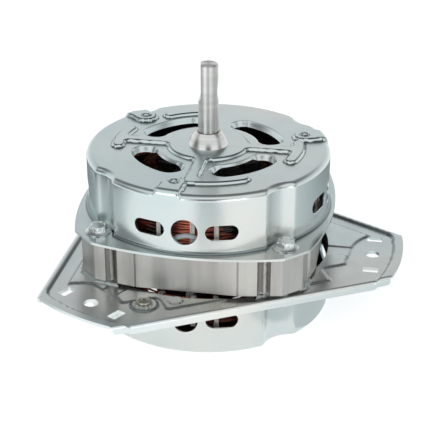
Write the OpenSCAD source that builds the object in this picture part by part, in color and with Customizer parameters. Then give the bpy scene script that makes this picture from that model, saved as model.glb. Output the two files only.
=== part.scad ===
// Motor of a twin-tub washing machine: a single-phase induction motor that stands with its shaft up
// and hangs in the machine by a three-winged bracket. Sizes are in millimetres.
// The origin is the centre of the bracket's bolt circle, on the top of its pads. +Z runs up the shaft,
// and one flat side of the stack faces -Y.

/* [Stator stack] */
// Width of the lamination stack across its flat sides
core_w = 114.6; // [112:0.2:120]
// Height of the lamination stack
core_h = 20; // [14:1:36]
// Distance from the axis to the cut corners of the stack
core_corner = 69.5; // [68:0.5:76]
// Length of each corner cut
core_cut = 11.8; // [10:0.2:20]
// Length of the middle flat of each side
core_flat = 48.8; // [30:0.2:60]
// Bore of the stack
core_bore = 62; // [58:0.5:66]
// Depth of a slot from the bore
slot_depth = 15.5; // [14.5:0.1:17]
// Width of a slot
slot_w = 5.6; // [5.2:0.1:6.2]
// Width of the slot's mouth
slot_mouth = 2.4; // [1.5:0.1:3]
// Thickness of the tooth lip at the mouth
tooth_lip = 1.4; // [1:0.1:2]
// Radius of the weld grooves down the sides of the stack
groove_r = 3.2; // [2:0.1:4]
// Distance of a weld groove from the middle of its side
groove_x = 36.6; // [34:0.2:40]
// Width and depth of the thin seams down the sides
seam = 0.8; // [0.4:0.1:1.5]

/* [Windings] */
// Diameter of a winding bundle
coil_d = 4.2; // [3.2:0.1:4.4]
// Height of the short loop's end turns above the stack
short_turn_h = 8; // [7:0.5:9]
// Height of the long loop's end turns above the stack
long_turn_h = 15; // [14:0.5:18]
// How far the main coils' end turns lean outwards
main_flare = 3; // [1:0.5:4]
// Thickness of the slot liners
liner_t = 0.25; // [0.15:0.05:0.35]
// Thickness of the slot wedges
wedge_t = 1; // [0.6:0.1:1.4]
// Width of the lacing bands
tie_w = 3; // [2:0.5:5]
// Thickness of the lacing bands
tie_t = 0.8; // [0.5:0.1:1.2]
// Length of the thermal protector
protector_l = 18; // [14:0.5:24]
// Width of the thermal protector
protector_w = 8; // [6:0.5:10]
// Height of the thermal protector
protector_h = 5; // [3:0.5:6]

/* [Rotor] */
// Air gap between the stack and the rotor
air_gap = 0.35; // [0.25:0.05:0.6]
// Number of cage bars
bar_count = 28; // [16:1:32]
// Diameter of a cage bar
bar_d = 3.2; // [2.4:0.1:4]
// Height of the end rings
ring_h = 7; // [4:0.5:9]
// Radial width of the end rings
ring_w = 9.5; // [6:0.5:12]
// Number of fan blades on each end ring
blade_count = 9; // [6:1:14]
// Thickness of a fan blade
blade_t = 2; // [1.5:0.1:3]
// Height of the upper fan blades
blade_h = 9; // [5:0.5:11]
// Height of the lower fan blades
low_blade_h = 4; // [2:0.5:5]

/* [Shaft] */
// Diameter of the shaft's journals and its drive end
shaft_d = 10; // [8:0.5:12]
// Diameter of the shaft inside the rotor
shaft_core_d = 13; // [12:0.5:16]
// Length of the shaft above the upper cover's face
shaft_out = 41; // [30:0.5:60]
// Diameter of the drive end beside its flat
drive_d = 9.9; // [9:0.1:9.9]
// Length of the flat on the drive end
flat_l = 17; // [10:0.2:24]
// Depth of the flat
flat_depth = 1.3; // [0.6:0.1:1.4]
// Turn of the flat about the axis
flat_turn = 10.5; // [0:0.5:359.5]
// Height of the neck at the foot of the flat
neck_w = 6; // [2:0.2:8]
// Depth of the neck
neck_t = 0.4; // [0.3:0.05:0.6]
// Chamfer at the top of the shaft
shaft_chamfer = 0.8; // [0.4:0.1:1.2]
// Width of the ring groove that marks off the drive end
ring_groove_w = 1; // [0.8:0.1:1.5]
// Depth of the ring groove
ring_groove_t = 0.35; // [0.2:0.05:0.5]

/* [Bearings] */
// Radial clearance of the shaft in the bushes
run_gap = 0.05; // [0.02:0.01:0.09]
// Radius of the round outside of a bush
bush_r = 9.55; // [9:0.05:10.5]
// Length of a bush
bush_l = 11; // [9:0.5:12]
// Depth of the bush's centre below the cover's outer face
bush_depth = 3.6; // [3:0.1:4.5]
// Thickness of the retainer sheet
retainer_t = 0.8; // [0.5:0.1:1]
// Radius of the retainer cup
cup_r = 13; // [12.6:0.1:13.6]
// End play of the rotor at each bush
end_play = 0.5; // [0.4:0.05:0.8]
// Thickness of a thrust washer
washer_t = 1.5; // [1:0.1:2]
// Radius of a thrust washer
washer_r = 8.5; // [7.5:0.1:9]
// Thickness of an oil slinger
slinger_t = 0.8; // [0.5:0.1:1.2]
// Radius of an oil slinger
slinger_r = 9.8; // [9.2:0.1:11]

/* [Covers] */
// Outer diameter of the upper cover
upper_d = 120; // [118:0.5:124]
// Height of the upper cover
upper_h = 32; // [29:0.5:40]
// Outer diameter of the lower cover
lower_d = 123; // [119:0.5:125]
// Height of the lower cover
lower_h = 28; // [25:0.2:32]
// How far the lower cover's boss stays above its foot ring
boss_clear = 0.3; // [0.1:0.1:1]
// Radius of the lower cover's recess
recess_r = 44; // [42:0.5:48]
// Thickness of the cover sheet
sheet = 1.2; // [0.8:0.1:1.4]
// Radius of the covers' outer edge
edge_r = 2.6; // [2:0.1:4]
// Width of the covers' flange at the middle of a side
flange_w = 3.2; // [2.5:0.1:4]
// How far the flange stands past the stack's cut corners
flange_over = 2.5; // [0:0.1:3]
// Length of the flange's corner cuts
flange_cut = 15.4; // [10:0.2:20]
// Fillet between a cover's wall and its flange
flange_fillet = 2; // [1:0.1:2.4]
// Radius of the flutes that clear the bolts
flute_r = 15.7; // [13:0.1:18]
// Radial gap between the upper cover's boss and the shaft
boss_gap = 0.85; // [0.5:0.05:1.5]
// Middle radius of the kidney windows
window_r = 32; // [31.4:0.1:34]
// Half width of the kidney windows
window_w = 6.4; // [5:0.1:6.6]
// Half angle between the ends of a kidney window
window_a = 23; // [15:0.5:25]
// Depth of the turned-in lips of the windows
window_lip = 2.4; // [1.5:0.1:4]
// Middle radius of the pressed groove round the hub
hub_groove_r = 20.3; // [20:0.1:20.8]
// Middle radius of the groove's outer tails
tail_r = 43.6; // [43:0.1:45]
// Half width of the pressed groove
press_w = 2.2; // [1.6:0.1:2.4]
// Depth of the pressed groove
press_h = 1.1; // [0.6:0.1:1.2]
// Radius at which the rim pads' holes lie
pad_r = 49; // [48.5:0.1:50]
// Width of a rim pad
pad_w = 13; // [10:0.5:15]
// Height of a rim pad
pad_h = 1.5; // [0.8:0.1:1.8]
// Diameter of the hole in a rim pad
pad_hole = 3.2; // [2.5:0.1:4]
// Turn of the rim pads about the axis
pad_turn = -98; // [-104:1:-92]
// Diameter of the round side vents
vent_d = 12.6; // [10:0.1:13]
// Length of the slotted side vents
vent_l = 15.4; // [12:0.1:16]
// Height of the slotted side vents
vent_h = 7.2; // [5:0.1:8]
// Angle between a round vent and the slots beside it
vent_a = 16.6; // [16:0.1:18]
// Height of the upper vents above the flange's seat
upper_vent_z = 12.2; // [11:0.1:15]
// Depth of the lower vents below the flange's seat
lower_vent_z = 9.8; // [9:0.1:12]

/* [Through bolts] */
// Diameter of the bolt circle
bolt_pcd = 127; // [126:0.5:129]
// Diameter of the through bolts
bolt_d = 5; // [4:0.5:5.5]
// Width across flats of the heads and nuts
bolt_af = 8; // [7:0.5:8.5]
// Diameter of the round flange under a head
head_flange_d = 11; // [9:0.5:12]
// Height of a bolt head
head_h = 4.5; // [3:0.5:6]
// Height of a nut
nut_h = 4; // [3:0.5:5]
// Thickness of a spring washer
spring_t = 1.3; // [0.8:0.1:1.6]
// Length of thread past the nut
bolt_past = 1.5; // [0.5:0.5:4]

/* [Bracket] */
// Clearance of the nuts inside the bracket's lips
nut_gap = 0.5; // [0.4:0.1:4]
// How far the round ends of the wings reach past the circle of mounting holes
wing_tip = 18; // [12:0.5:20]
// How far behind the axis the round ends of the two front wings have their centre
tip_back = 6.5; // [0:0.5:10]
// Thickness of the bracket sheet
plate_t = 1.6; // [1.2:0.1:2.5]
// Height of the raised middle and borders above the wings' ends
panel_h = 0.8; // [0.5:0.1:1.5]
// Height of the corner seats above the raised middle
seat_h = 1.2; // [0.5:0.1:2]
// Distance of the seats from the middle planes
seat_in = 32; // [28:0.5:38]
// Depth of the turned-down lips, from the top of the wings' ends
lip_h = 4; // [3:0.5:8]
// Thickness of the lips
lip_t = 1.5; // [1:0.1:2]
// Width of the raised border along the two long sides at the back
border_w = 4; // [3:0.5:6]
// Width of the valley between a border and the raised middle
valley_w = 3.5; // [2:0.5:5]
// Distance of the two pockets at the front from the axis
pocket_in = 48; // [47:0.5:52]
// Distance of the two pockets at the front from the front's middle
pocket_x = 42; // [41:0.5:46]
// Opening in the middle, across
bracket_open = 122; // [114:0.5:123]
// Diameter of the circle of mounting holes
mount_pcd = 167; // [163:0.5:171]
// Diameter of a mounting hole
mount_d = 7; // [5:0.5:9]
// Radius of the low flat round a wing's end
wing_pad_r = 25.5; // [22:0.5:27]
// How far past the circle of mounting holes that flat has its centre
wing_pad_out = 15; // [12:0.5:18]
// Half width of the shallow channel along each wing
strip_w = 4; // [3:0.5:6]
// Length of the locating slots beside a mounting hole, along the wing
key_l = 7.5; // [5:0.1:9]
// Width of the locating slots
key_w = 4.7; // [3:0.1:6]
// Distance of the locating slots from the wing's middle
key_y = 16.4; // [14:0.2:17]
// Place of the earth screw along X
earth_x = -17; // [-19:0.5:-14]
// Distance of the earth screw in front of the lower cover's side
earth_y = 8.5; // [6:0.5:10]
// Diameter of the earth screw
earth_d = 4; // [3:0.5:5]
// Diameter of the earth screw's head
earth_head_d = 6.6; // [6.5:0.1:9]
// Height of the earth screw's head
earth_head_h = 2.6; // [1.8:0.1:3.5]
// Length of the earth screw below its washer
earth_l = 7; // [5:0.5:10]
// Thickness of the earth screw's washer
earth_washer_t = 0.8; // [0.5:0.1:1.5]
// Diameter of the raised bosses under the earth screw and at the bare marking place beside it
mark_d = 10; // [9:0.5:12]
// Place of the bare marking boss along X
mark_x = -3.5; // [-5:0.5:0]
// Distance of the bare marking boss in front of the lower cover's side
mark_y = 3; // [2.5:0.5:5.5]
// Height of the bare marking boss above the raised middle
mark_h = 0.4; // [0.2:0.1:0.8]

/* [Hidden] */
$fn = 96;

// Quarter turn between the motor's four alike sides, and the corners half way between them
quarter_a = 90;
corner_a = quarter_a / 2;

// The winding has four poles of six slots
pole_count = 4;
slots_per_pole = 6;
slot_count = pole_count * slots_per_pole;
// Small overshoot of a cut past the face that it opens
eps = 0.5;
// Step by which a round end stays inside the band that it closes
tuck = 0.05;
// Clearance of pieces that are laid in, and of bolts in their holes
lay_gap = 0.1;
bolt_gap = 0.3;
// Clearance between a winding and what lies beside it
coil_gap = 0.35;

// Levels up the axis
stack_z = panel_h + seat_h;
stack_top = stack_z + core_h;
stack_mid = stack_z + core_h / 2;
upper_face = stack_top + upper_h;
plate_bottom = -plate_t;
shaft_top = upper_face + shaft_out;
foot_z = plate_bottom - lower_h;

// Outline points of the stack's side towards -Y, and of the covers' flange corners
core_x = (core_corner - core_cut / 2) / sqrt(2);
core_y = (core_corner + core_cut / 2) / sqrt(2);
core_side = [[-core_x, -core_y], [-core_flat / 2, -core_w / 2],
  [core_flat / 2, -core_w / 2], [core_x, -core_y]];
flange_corner = core_corner + flange_over;
flange_x = (flange_corner - flange_cut / 2) / sqrt(2);
flange_y = (flange_corner + flange_cut / 2) / sqrt(2);

// The weld grooves have their centres a little outside the slanted part of the stack's side
groove_out = groove_r / 4;
groove_slant = (groove_x - core_flat / 2) / (core_x - core_flat / 2);
groove_y = mix(core_w / 2, core_y, groove_slant) + groove_out;

// Slots and the radii at which the coils run through them
slot_top = core_bore / 2 + tooth_lip;
slot_root = core_bore / 2 + slot_depth;
coil_r = coil_d / 2;
main_r = slot_root - lay_gap - liner_t - coil_gap - coil_r;
aux_r = slot_top + lay_gap + wedge_t + coil_gap + coil_r;
pitch_a = 360 / slot_count;
pole_a = 360 / pole_count;
// How far the liners and wedges, and the straight part of the coils, stand past each end of the stack
liner_past = 2;
leg_past = 7;
// Half angles that the short and the long loop of a coil span, and how the loops are drawn
short_a = 1.5 * pitch_a;
long_a = 2.5 * pitch_a;
loop_power = 0.3;
ring_step = 15;
tau_first = -60;
tau_last = 600;
tau_blend = [200, 330];
tube_sides = 6;

// Rotor
rotor_r = core_bore / 2 - air_gap;
bar_cover = 0.9;
bar_r = rotor_r - bar_d / 2 - bar_cover;
ring_in = 0.6;
cage_r = rotor_r - ring_in;
blade_in = 0.5;

// Bearings, measured down from the outer face of a cover
bush_end = bush_depth + bush_l / 2;
seat_r = bush_r + lay_gap / 2;
retainer_drop = 0.6;
cup_floor = bush_end - retainer_drop;
cup_open = sqrt(pow(bush_r, 2) - pow(bush_l / 2 - retainer_drop, 2)) + lay_gap / 2;
washer_at = bush_end + end_play;
slinger_at = washer_at + washer_t;
shoulder_at = slinger_at + slinger_t;
boss_r = seat_r + sheet;
boss_h = boss_r - bush_depth;
retainer_r = hub_groove_r - press_w - sheet - coil_gap;
lower_recess = boss_h + boss_clear;
lower_face = foot_z + lower_recess;
// The drive end starts above the upper boss, and the shaft stops inside the lower one
drive_z = upper_face + boss_h + ring_groove_w;
shaft_dip = 2;

// Angles that the two kinds of groove tail run along the rim
long_tail_a = 36;
short_tail_a = 22;
cover_vent_deep = 12;

// Bolts and flutes
bolt_r = bolt_pcd / 2;
flute_gap = 0.5;
flute_floor = bolt_r - head_flange_d / 2 - flute_gap;
flute_c = flute_floor + flute_r;
nut_top = plate_bottom - sheet - spring_t;
bolt_end = nut_top - nut_h - bolt_past;

// Bracket
wing_count = 3;
wing_a = 360 / wing_count;
wing_end = mount_pcd / 2 + wing_tip;
nut_r = bolt_af / cos(30) / 2;
// Each long side passes outside the nut of the nearest bolt, which lies this angle off its middle, and
// outside the lower cover
side_bolt_a = wing_a / 2 - corner_a;
side_gap = 0.8;
side_in = max(bolt_r * cos(side_bolt_a) + nut_r + nut_gap, lower_d / 2 + side_gap) + lip_t;
earth_at = [earth_x, -lower_d / 2 - earth_y];
mark_at = [mark_x, -lower_d / 2 - mark_y];

function turn(p, a) = [p.x * cos(a) - p.y * sin(a), p.x * sin(a) + p.y * cos(a)];
function spow(x) = sign(x) * pow(abs(x), loop_power);
function ease(t) = t <= 0 ? 0 : t >= 1 ? 1 : t * t * (3 - 2 * t);
function mix(a, b, t) = a + (b - a) * t;

// One coil's middle line: an inner loop that runs over into an outer loop below the stack. A loop is a
// squared oval on the cylinder of its slots, and its end turns lean out by flare past the straight part.
function lean(past, flare) = flare * max(0, past - leg_past) / (long_turn_h - leg_past);
function coil_point(tau, leg_r, flare) =
  let (t = ease((tau - tau_blend[0]) / (tau_blend[1] - tau_blend[0])),
       a = mix(short_a, long_a, t) * spow(cos(tau)),
       z = (core_h / 2 + mix(short_turn_h, long_turn_h, t)) * spow(sin(tau)),
       r = leg_r + lean(abs(z) - core_h / 2, flare))
  [r * cos(a), r * sin(a), z];
function coil_line(leg_r, flare) =
  [for (tau = [tau_first:ring_step:tau_last]) coil_point(tau, leg_r, flare)];
function unit(v) = v / norm(v);
function tangent(line, i) = unit(line[min(i + 1, len(line) - 1)] - line[max(i - 1, 0)]);
// Ring of points round a line's point, square to the line and set by the direction away from the axis
function coil_ring(line, i) =
  let (t = tangent(line, i),
       out = unit([line[i].x, line[i].y, 0]),
       e = unit(out - (out * t) * t),
       f = cross(t, e))
  [for (k = [0:tube_sides - 1]) let (a = k * 360 / tube_sides)
    line[i] + coil_r * (e * cos(a) + f * sin(a))];
// Least distance between stretches of a line that aren't neighbours, less the tube's own width
function self_gap(line) = min([for (i = [0:len(line) - 1]) for (j = [i + 5:1:len(line) - 1])
  norm(line[i] - line[j])]) - coil_d;

module coil_tube(leg_r, flare) {
  line = coil_line(leg_r, flare);
  last = len(line) - 1;
  points = [for (i = [0:last]) each coil_ring(line, i)];
  walls = [for (i = [0:last - 1]) for (k = [0:tube_sides - 1])
    let (a = i * tube_sides + k, b = i * tube_sides + (k + 1) % tube_sides)
    each [[a, a + tube_sides, b], [b, a + tube_sides, b + tube_sides]]];
  caps = [for (k = [1:tube_sides - 2]) each [[0, k, k + 1],
    [last * tube_sides, last * tube_sides + k + 1, last * tube_sides + k]]];
  polyhedron(points, concat(walls, caps));
}

module wedge_shape(a0, a1, r) {
  mid = (a0 + a1) / 2;
  polygon([[0, 0], for (a = [a0, mid, a1]) 2 * r * [cos(a), sin(a)]]);
}

// Arc-shaped band with round ends
module arc_band(r, half_w, a0, a1) {
  intersection() {
    difference() {
      circle(r + half_w);
      circle(r - half_w);
    }
    wedge_shape(a0, a1, r + half_w);
  }
  for (a = [a0, a1]) rotate(a) translate([r, 0]) circle(half_w - tuck);
}

// Stator
module core_outline() {
  polygon([for (s = [0:3]) for (p = core_side) turn(p, s * quarter_a)]);
}

module slot_shape(inset) {
  translate([slot_top + inset, inset - slot_w / 2])
    square([slot_root - slot_w / 2 - slot_top - inset, slot_w - 2 * inset]);
  translate([slot_root - slot_w / 2, 0]) circle(slot_w / 2 - inset);
}

module at_slots() {
  for (i = [0:slot_count - 1]) rotate((i + 0.5) * pitch_a) children();
}

module at_bolts(r = bolt_r) {
  for (s = [0:3]) rotate(corner_a + s * quarter_a) translate([r, 0, 0]) children();
}

module stator_core() {
  color("#aca9a3") translate([0, 0, stack_z]) linear_extrude(core_h) difference() {
    core_outline();
    circle(core_bore / 2);
    at_slots() slot_shape(0);
    at_slots() translate([core_bore / 2 - eps, -slot_mouth / 2]) square([tooth_lip + 2 * eps, slot_mouth]);
    at_bolts() circle(bolt_d / 2 + bolt_gap);
    for (s = [0:3]) for (m = [-1, 1]) rotate(s * quarter_a) {
      translate([m * groove_x, -groove_y]) circle(groove_r);
      translate([m * core_flat / 2, -core_w / 2]) rotate(corner_a) square(seam, center = true);
    }
  }
}

module slot_liners() {
  inset = lay_gap + liner_t;
  color("#e9e4d2") translate([0, 0, stack_z - liner_past])
    linear_extrude(core_h + 2 * liner_past) at_slots() difference() {
      slot_shape(lay_gap);
      slot_shape(inset);
      translate([slot_top, inset - slot_w / 2]) square([2 * inset, slot_w - 2 * inset]);
    }
}

module slot_wedges() {
  w = slot_w - 2 * (2 * lay_gap + liner_t);
  color("#d8c9a0") at_slots() translate([slot_top + lay_gap, -w / 2, stack_z - liner_past])
    cube([wedge_t, w, core_h + 2 * liner_past]);
}

module coils(leg_r, flare, turn_a) {
  echo(least_gap_of_a_coil_to_itself = self_gap(coil_line(leg_r, flare)));
  for (a = [0:pole_a:360 - pole_a]) rotate(a + turn_a) translate([0, 0, stack_mid]) coil_tube(leg_r, flare);
}

module main_winding() {
  color("#8c2f22") coils(main_r, main_flare, 0);
}

module auxiliary_winding() {
  color("#a5452f") coils(aux_r, 0, pole_a / 2);
}

// Band of lacing round the two upper end turns of a coil, at the coil's middle
module tie_band(leg_r, flare) {
  low = short_turn_h - coil_r - coil_gap;
  high = long_turn_h + coil_r + coil_gap;
  inner = leg_r + lean(short_turn_h, flare) - coil_r - coil_gap;
  outer = leg_r + flare + coil_r + coil_gap;
  translate([0, tie_w / 2, stack_top]) rotate([90, 0, 0]) linear_extrude(tie_w) difference() {
    translate([inner - tie_t, low - tie_t]) square([outer - inner + 2 * tie_t, high - low + 2 * tie_t]);
    translate([inner, low]) square([outer - inner, high - low]);
  }
}

module winding_ties() {
  color("#efece4") for (a = [0:pole_a:360 - pole_a]) {
    rotate(a) tie_band(main_r, main_flare);
    rotate(a + pole_a / 2) tie_band(aux_r, 0);
  }
}

// Flat capsule that lies on the main winding's end turn at the back
module thermal_protector() {
  base = stack_top + long_turn_h + coil_r + coil_gap;
  end_r = protector_w / 2;
  color("#2f3438") rotate(pole_a) translate([main_r, protector_l / 2 + tie_w, base])
    linear_extrude(protector_h) {
      square([protector_w, protector_l - protector_w], center = true);
      for (m = [-1, 1]) translate([0, m * (protector_l / 2 - end_r)]) circle(end_r);
    }
}

// Rotor
module at_bars() {
  for (i = [0:bar_count - 1]) rotate(i * 360 / bar_count) translate([bar_r, 0, 0]) children();
}

module rotor_core() {
  color("#8d8b87") translate([0, 0, stack_z]) linear_extrude(core_h) difference() {
    circle(rotor_r);
    circle(shaft_core_d / 2 + lay_gap / 2);
    at_bars() circle(bar_d / 2 + lay_gap / 2);
  }
}

module end_ring(height, fan_h) {
  linear_extrude(height) difference() {
    circle(cage_r);
    circle(cage_r - ring_w);
  }
  for (i = [0:blade_count - 1]) rotate(i * 360 / blade_count)
    translate([cage_r - ring_w + blade_in, -blade_t / 2, height - eps])
      cube([ring_w - 2 * blade_in, blade_t, fan_h + eps]);
}

module rotor_cage() {
  color("#c3c6c8") {
    translate([0, 0, stack_top]) end_ring(ring_h, blade_h);
    translate([0, 0, stack_z]) mirror([0, 0, 1]) end_ring(ring_h, low_blade_h);
    at_bars() translate([0, 0, stack_z - eps]) cylinder(d = bar_d, h = core_h + 2 * eps);
  }
}

module shaft() {
  end_low = lower_face - shaft_dip;
  shoulder_low = lower_face + shoulder_at;
  shoulder_high = upper_face - shoulder_at;
  flat_low = shaft_top - flat_l;
  color("#c9c9c7") difference() {
    union() {
      translate([0, 0, end_low]) cylinder(d = shaft_d, h = flat_low - end_low);
      translate([0, 0, flat_low]) cylinder(d = shaft_d - 2 * neck_t, h = neck_w);
      translate([0, 0, flat_low + neck_w]) cylinder(d = drive_d, h = flat_l - neck_w - shaft_chamfer);
      translate([0, 0, shaft_top - shaft_chamfer])
        cylinder(d1 = drive_d, d2 = drive_d - 2 * shaft_chamfer, h = shaft_chamfer);
      translate([0, 0, shoulder_low]) cylinder(d = shaft_core_d, h = shoulder_high - shoulder_low);
    }
    rotate(flat_turn) translate([-shaft_d - shaft_d / 2 + flat_depth, -shaft_d, flat_low])
      cube([shaft_d, 2 * shaft_d, flat_l + eps]);
    translate([0, 0, drive_z - ring_groove_w]) difference() {
      cylinder(d = 2 * shaft_d, h = ring_groove_w);
      cylinder(d = shaft_d - 2 * ring_groove_t, h = ring_groove_w);
    }
  }
}

// Bearings: drawn with the outer face of a cover at z = 0 and the inside below
module at_upper() {
  translate([0, 0, upper_face]) children();
}

module at_lower() {
  translate([0, 0, lower_face]) mirror([0, 0, 1]) children();
}

module ring(r_out, r_in, h) {
  difference() {
    cylinder(r = r_out, h = h);
    translate([0, 0, -eps]) cylinder(r = r_in, h = h + 2 * eps);
  }
}

module bush() {
  color("#b08d4f") translate([0, 0, -bush_depth]) difference() {
    intersection() {
      sphere(bush_r);
      cylinder(r = 2 * bush_r, h = bush_l, center = true);
    }
    cylinder(d = shaft_d + 2 * run_gap, h = 4 * bush_r, center = true);
  }
}

module upper_bush() { at_upper() bush(); }
module lower_bush() { at_lower() bush(); }

module felt() {
  low = cup_floor - 2 * lay_gap;
  color("#d9d2bd") translate([0, 0, -low])
    ring(cup_r - 2 * lay_gap, bush_r + 3 * lay_gap, low - sheet - 2 * lay_gap);
}

module upper_felt() { at_upper() felt(); }
module lower_felt() { at_lower() felt(); }

// Pressed cup that holds a bush up against its seat in the cover
module retainer() {
  color("#a9adae") {
    translate([0, 0, -sheet - retainer_t]) ring(retainer_r, cup_r, retainer_t);
    translate([0, 0, -cup_floor - retainer_t]) {
      ring(cup_r + retainer_t, cup_r, cup_floor + retainer_t - sheet);
      ring(cup_r + retainer_t, cup_open, retainer_t);
    }
  }
}

module upper_retainer() { at_upper() retainer(); }
module lower_retainer() { at_lower() retainer(); }

module thrust_washer() {
  translate([0, 0, -slinger_at]) ring(washer_r, shaft_d / 2 + lay_gap / 2, washer_t);
}

module thrust_washers() {
  color("#4a2f22") {
    at_upper() thrust_washer();
    at_lower() thrust_washer();
  }
}

module slinger() {
  translate([0, 0, -shoulder_at]) ring(slinger_r, shaft_d / 2 + lay_gap / 2, slinger_t);
}

module oil_slingers() {
  color("#b5b8b9") {
    at_upper() slinger();
    at_lower() slinger();
  }
}

// Covers: drawn with the outer face at z = 0, the wall below it and the flange's seat at z = -h
module can(r, h, e) {
  rotate_extrude() {
    translate([0, -h]) square([r, h - e]);
    translate([0, -h]) square([r - e, h]);
    translate([r - e, -e]) circle(e);
  }
}

module flutes(h, grow, floor_z) {
  at_bolts(flute_c) translate([0, 0, floor_z]) cylinder(r = flute_r + grow, h = h);
}

// Flange with bowed sides and cut corners, whose arcs meet the cuts where the stack's sides do
module flange_plate(r) {
  mid = r + flange_w;
  rise = mid - flange_y;
  arc_r = (pow(flange_x, 2) + pow(rise, 2)) / (2 * rise);
  intersection() {
    rotate(corner_a) square(2 * flange_corner, center = true);
    intersection_for(s = [0:3]) rotate(s * quarter_a) translate([0, arc_r - mid]) circle(arc_r);
  }
}

module flange_holes(h) {
  at_bolts() translate([0, 0, -h - eps]) cylinder(r = bolt_d / 2 + bolt_gap, h = sheet + 2 * eps);
}

module wall_fillet(r, h) {
  translate([0, 0, sheet - h]) rotate_extrude() translate([r - eps, 0]) difference() {
    square(flange_fillet + eps);
    translate([flange_fillet + eps, flange_fillet]) circle(flange_fillet);
  }
}

module side_vents(r, z) {
  for (s = [0:3]) rotate(s * quarter_a) {
    translate([r - cover_vent_deep, 0, z]) rotate([0, 90, 0]) cylinder(d = vent_d, h = 2 * cover_vent_deep);
    for (m = [-1, 1]) rotate(m * vent_a) translate([r - cover_vent_deep, 0, z]) rotate([90, 0, 90])
      linear_extrude(2 * cover_vent_deep) {
        square([vent_l - vent_h, vent_h], center = true);
        for (e = [-1, 1]) translate([e * (vent_l - vent_h) / 2, 0]) circle(vent_h / 2);
      }
  }
}

module windows(grow) {
  for (s = [0:3]) rotate(corner_a + s * quarter_a) arc_band(window_r, window_w + grow, -window_a, window_a);
}

module press_groove(half_w) {
  difference() {
    circle(hub_groove_r + half_w);
    circle(hub_groove_r - half_w);
  }
  for (s = [0:3]) rotate(s * quarter_a) translate([hub_groove_r, -half_w])
    square([tail_r - hub_groove_r, 2 * half_w]);
  for (a = [-quarter_a, quarter_a]) arc_band(tail_r, half_w, a, a + long_tail_a);
  for (a = [0, 2 * quarter_a]) arc_band(tail_r, half_w, a - short_tail_a, a);
}

module rim_pads(r, inset) {
  for (a = [0:wing_a:360 - wing_a]) rotate(pad_turn + a) intersection() {
    union() {
      translate([pad_r, 0]) circle(pad_w / 2 - inset);
      translate([pad_r, inset - pad_w / 2]) square([r - pad_r, pad_w - 2 * inset]);
    }
    circle(r - edge_r - inset);
  }
}

module upper_cover() {
  r = upper_d / 2;
  h = upper_h;
  color("#c4d2d4") at_upper() difference() {
    union() {
      difference() {
        union() {
          can(r, h, edge_r);
          wall_fillet(r, h);
        }
        flutes(h + eps, 0, sheet - h);
      }
      translate([0, 0, -h]) linear_extrude(sheet) flange_plate(r);
      linear_extrude(pad_h) rim_pads(r, 0);
      intersection() {
        translate([0, 0, -bush_depth]) sphere(boss_r);
        translate([0, 0, -sheet]) cylinder(r = 2 * boss_r, h = 2 * boss_r);
      }
    }
    difference() {
      translate([0, 0, -sheet]) can(r - sheet, h, edge_r - sheet);
      flutes(2 * h, sheet, -2 * h);
      translate([0, 0, -sheet - press_h]) linear_extrude(press_h + eps) press_groove(press_w + sheet);
      translate([0, 0, -window_lip]) linear_extrude(window_lip + eps) windows(sheet);
    }
    translate([0, 0, -press_h]) linear_extrude(press_h + eps) press_groove(press_w);
    translate([0, 0, -2 * window_lip]) linear_extrude(3 * window_lip) windows(0);
    translate([0, 0, -sheet - eps]) linear_extrude(pad_h + eps) rim_pads(r, sheet);
    for (a = [0:wing_a:360 - wing_a]) rotate(pad_turn + a) translate([pad_r, 0, -2 * sheet])
      cylinder(d = pad_hole, h = 4 * sheet + pad_h);
    translate([0, 0, -bush_depth]) sphere(seat_r);
    cylinder(r = shaft_d / 2 + boss_gap, h = 2 * boss_r);
    side_vents(r, upper_vent_z - h);
    flange_holes(h);
  }
}

module lower_cover() {
  r = lower_d / 2;
  h = lower_h;
  color("#c0cfd2") translate([0, 0, foot_z]) mirror([0, 0, 1]) difference() {
    union() {
      difference() {
        union() {
          can(r, h, edge_r);
          wall_fillet(r, h);
        }
        flutes(h + eps, 0, sheet - h);
      }
      translate([0, 0, -h]) linear_extrude(sheet) intersection() {
        flange_plate(r);
        bracket_outline(side_in - lip_t - bolt_gap, wing_end + eps);
      }
    }
    difference() {
      translate([0, 0, -sheet]) can(r - sheet, h, edge_r - sheet);
      flutes(2 * h, sheet, -2 * h);
      translate([0, 0, -lower_recess - sheet]) cylinder(r = recess_r + sheet, h = lower_recess + sheet);
    }
    translate([0, 0, -lower_recess]) difference() {
      cylinder(r = recess_r, h = lower_recess + eps);
      translate([0, 0, -bush_depth]) sphere(boss_r);
    }
    translate([0, 0, -lower_recess - bush_depth]) sphere(seat_r);
    translate([0, 0, -2 * lower_recess]) linear_extrude(2 * lower_recess) windows(0);
    side_vents(r, lower_vent_z - h);
    flange_holes(h);
  }
}

// Rubber grommet for the leads, in the lower cover's round vent at the back
module lead_grommet() {
  lip = 1.6;
  lip_past = 0.9;
  lead_bore = 6;
  z = plate_bottom - lower_vent_z;
  wall_out = lower_d / 2;
  wall_in = sqrt(pow(wall_out - sheet, 2) - pow(vent_d / 2 + lip, 2));
  neck = vent_d / 2 - lay_gap;
  color("#26282a") translate([0, 0, z]) rotate([-90, 0, 0]) difference() {
    union() {
      translate([0, 0, wall_in - lip]) cylinder(r = neck, h = wall_out - wall_in + 2 * lip);
      translate([0, 0, wall_out + lay_gap]) cylinder(r = neck + lip_past, h = lip);
    }
    translate([0, 0, wall_in - 2 * lip]) cylinder(d = lead_bore, h = wall_out);
  }
}

// Bracket: long sides at the distance d from the axis, and round ends on circles of radius reach, the
// front wings' one with its centre set back behind the axis
module bracket_outline(d, reach) {
  intersection() {
    polygon([for (k = [0:wing_count - 1]) turn([d / cos(wing_a / 2), 0], k * wing_a)]);
    circle(reach);
    translate(turn([-tip_back, 0], -wing_a / 2)) circle(reach);
  }
}

module at_wings() {
  for (k = [0:wing_count - 1]) rotate(k * wing_a) children();
}

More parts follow.
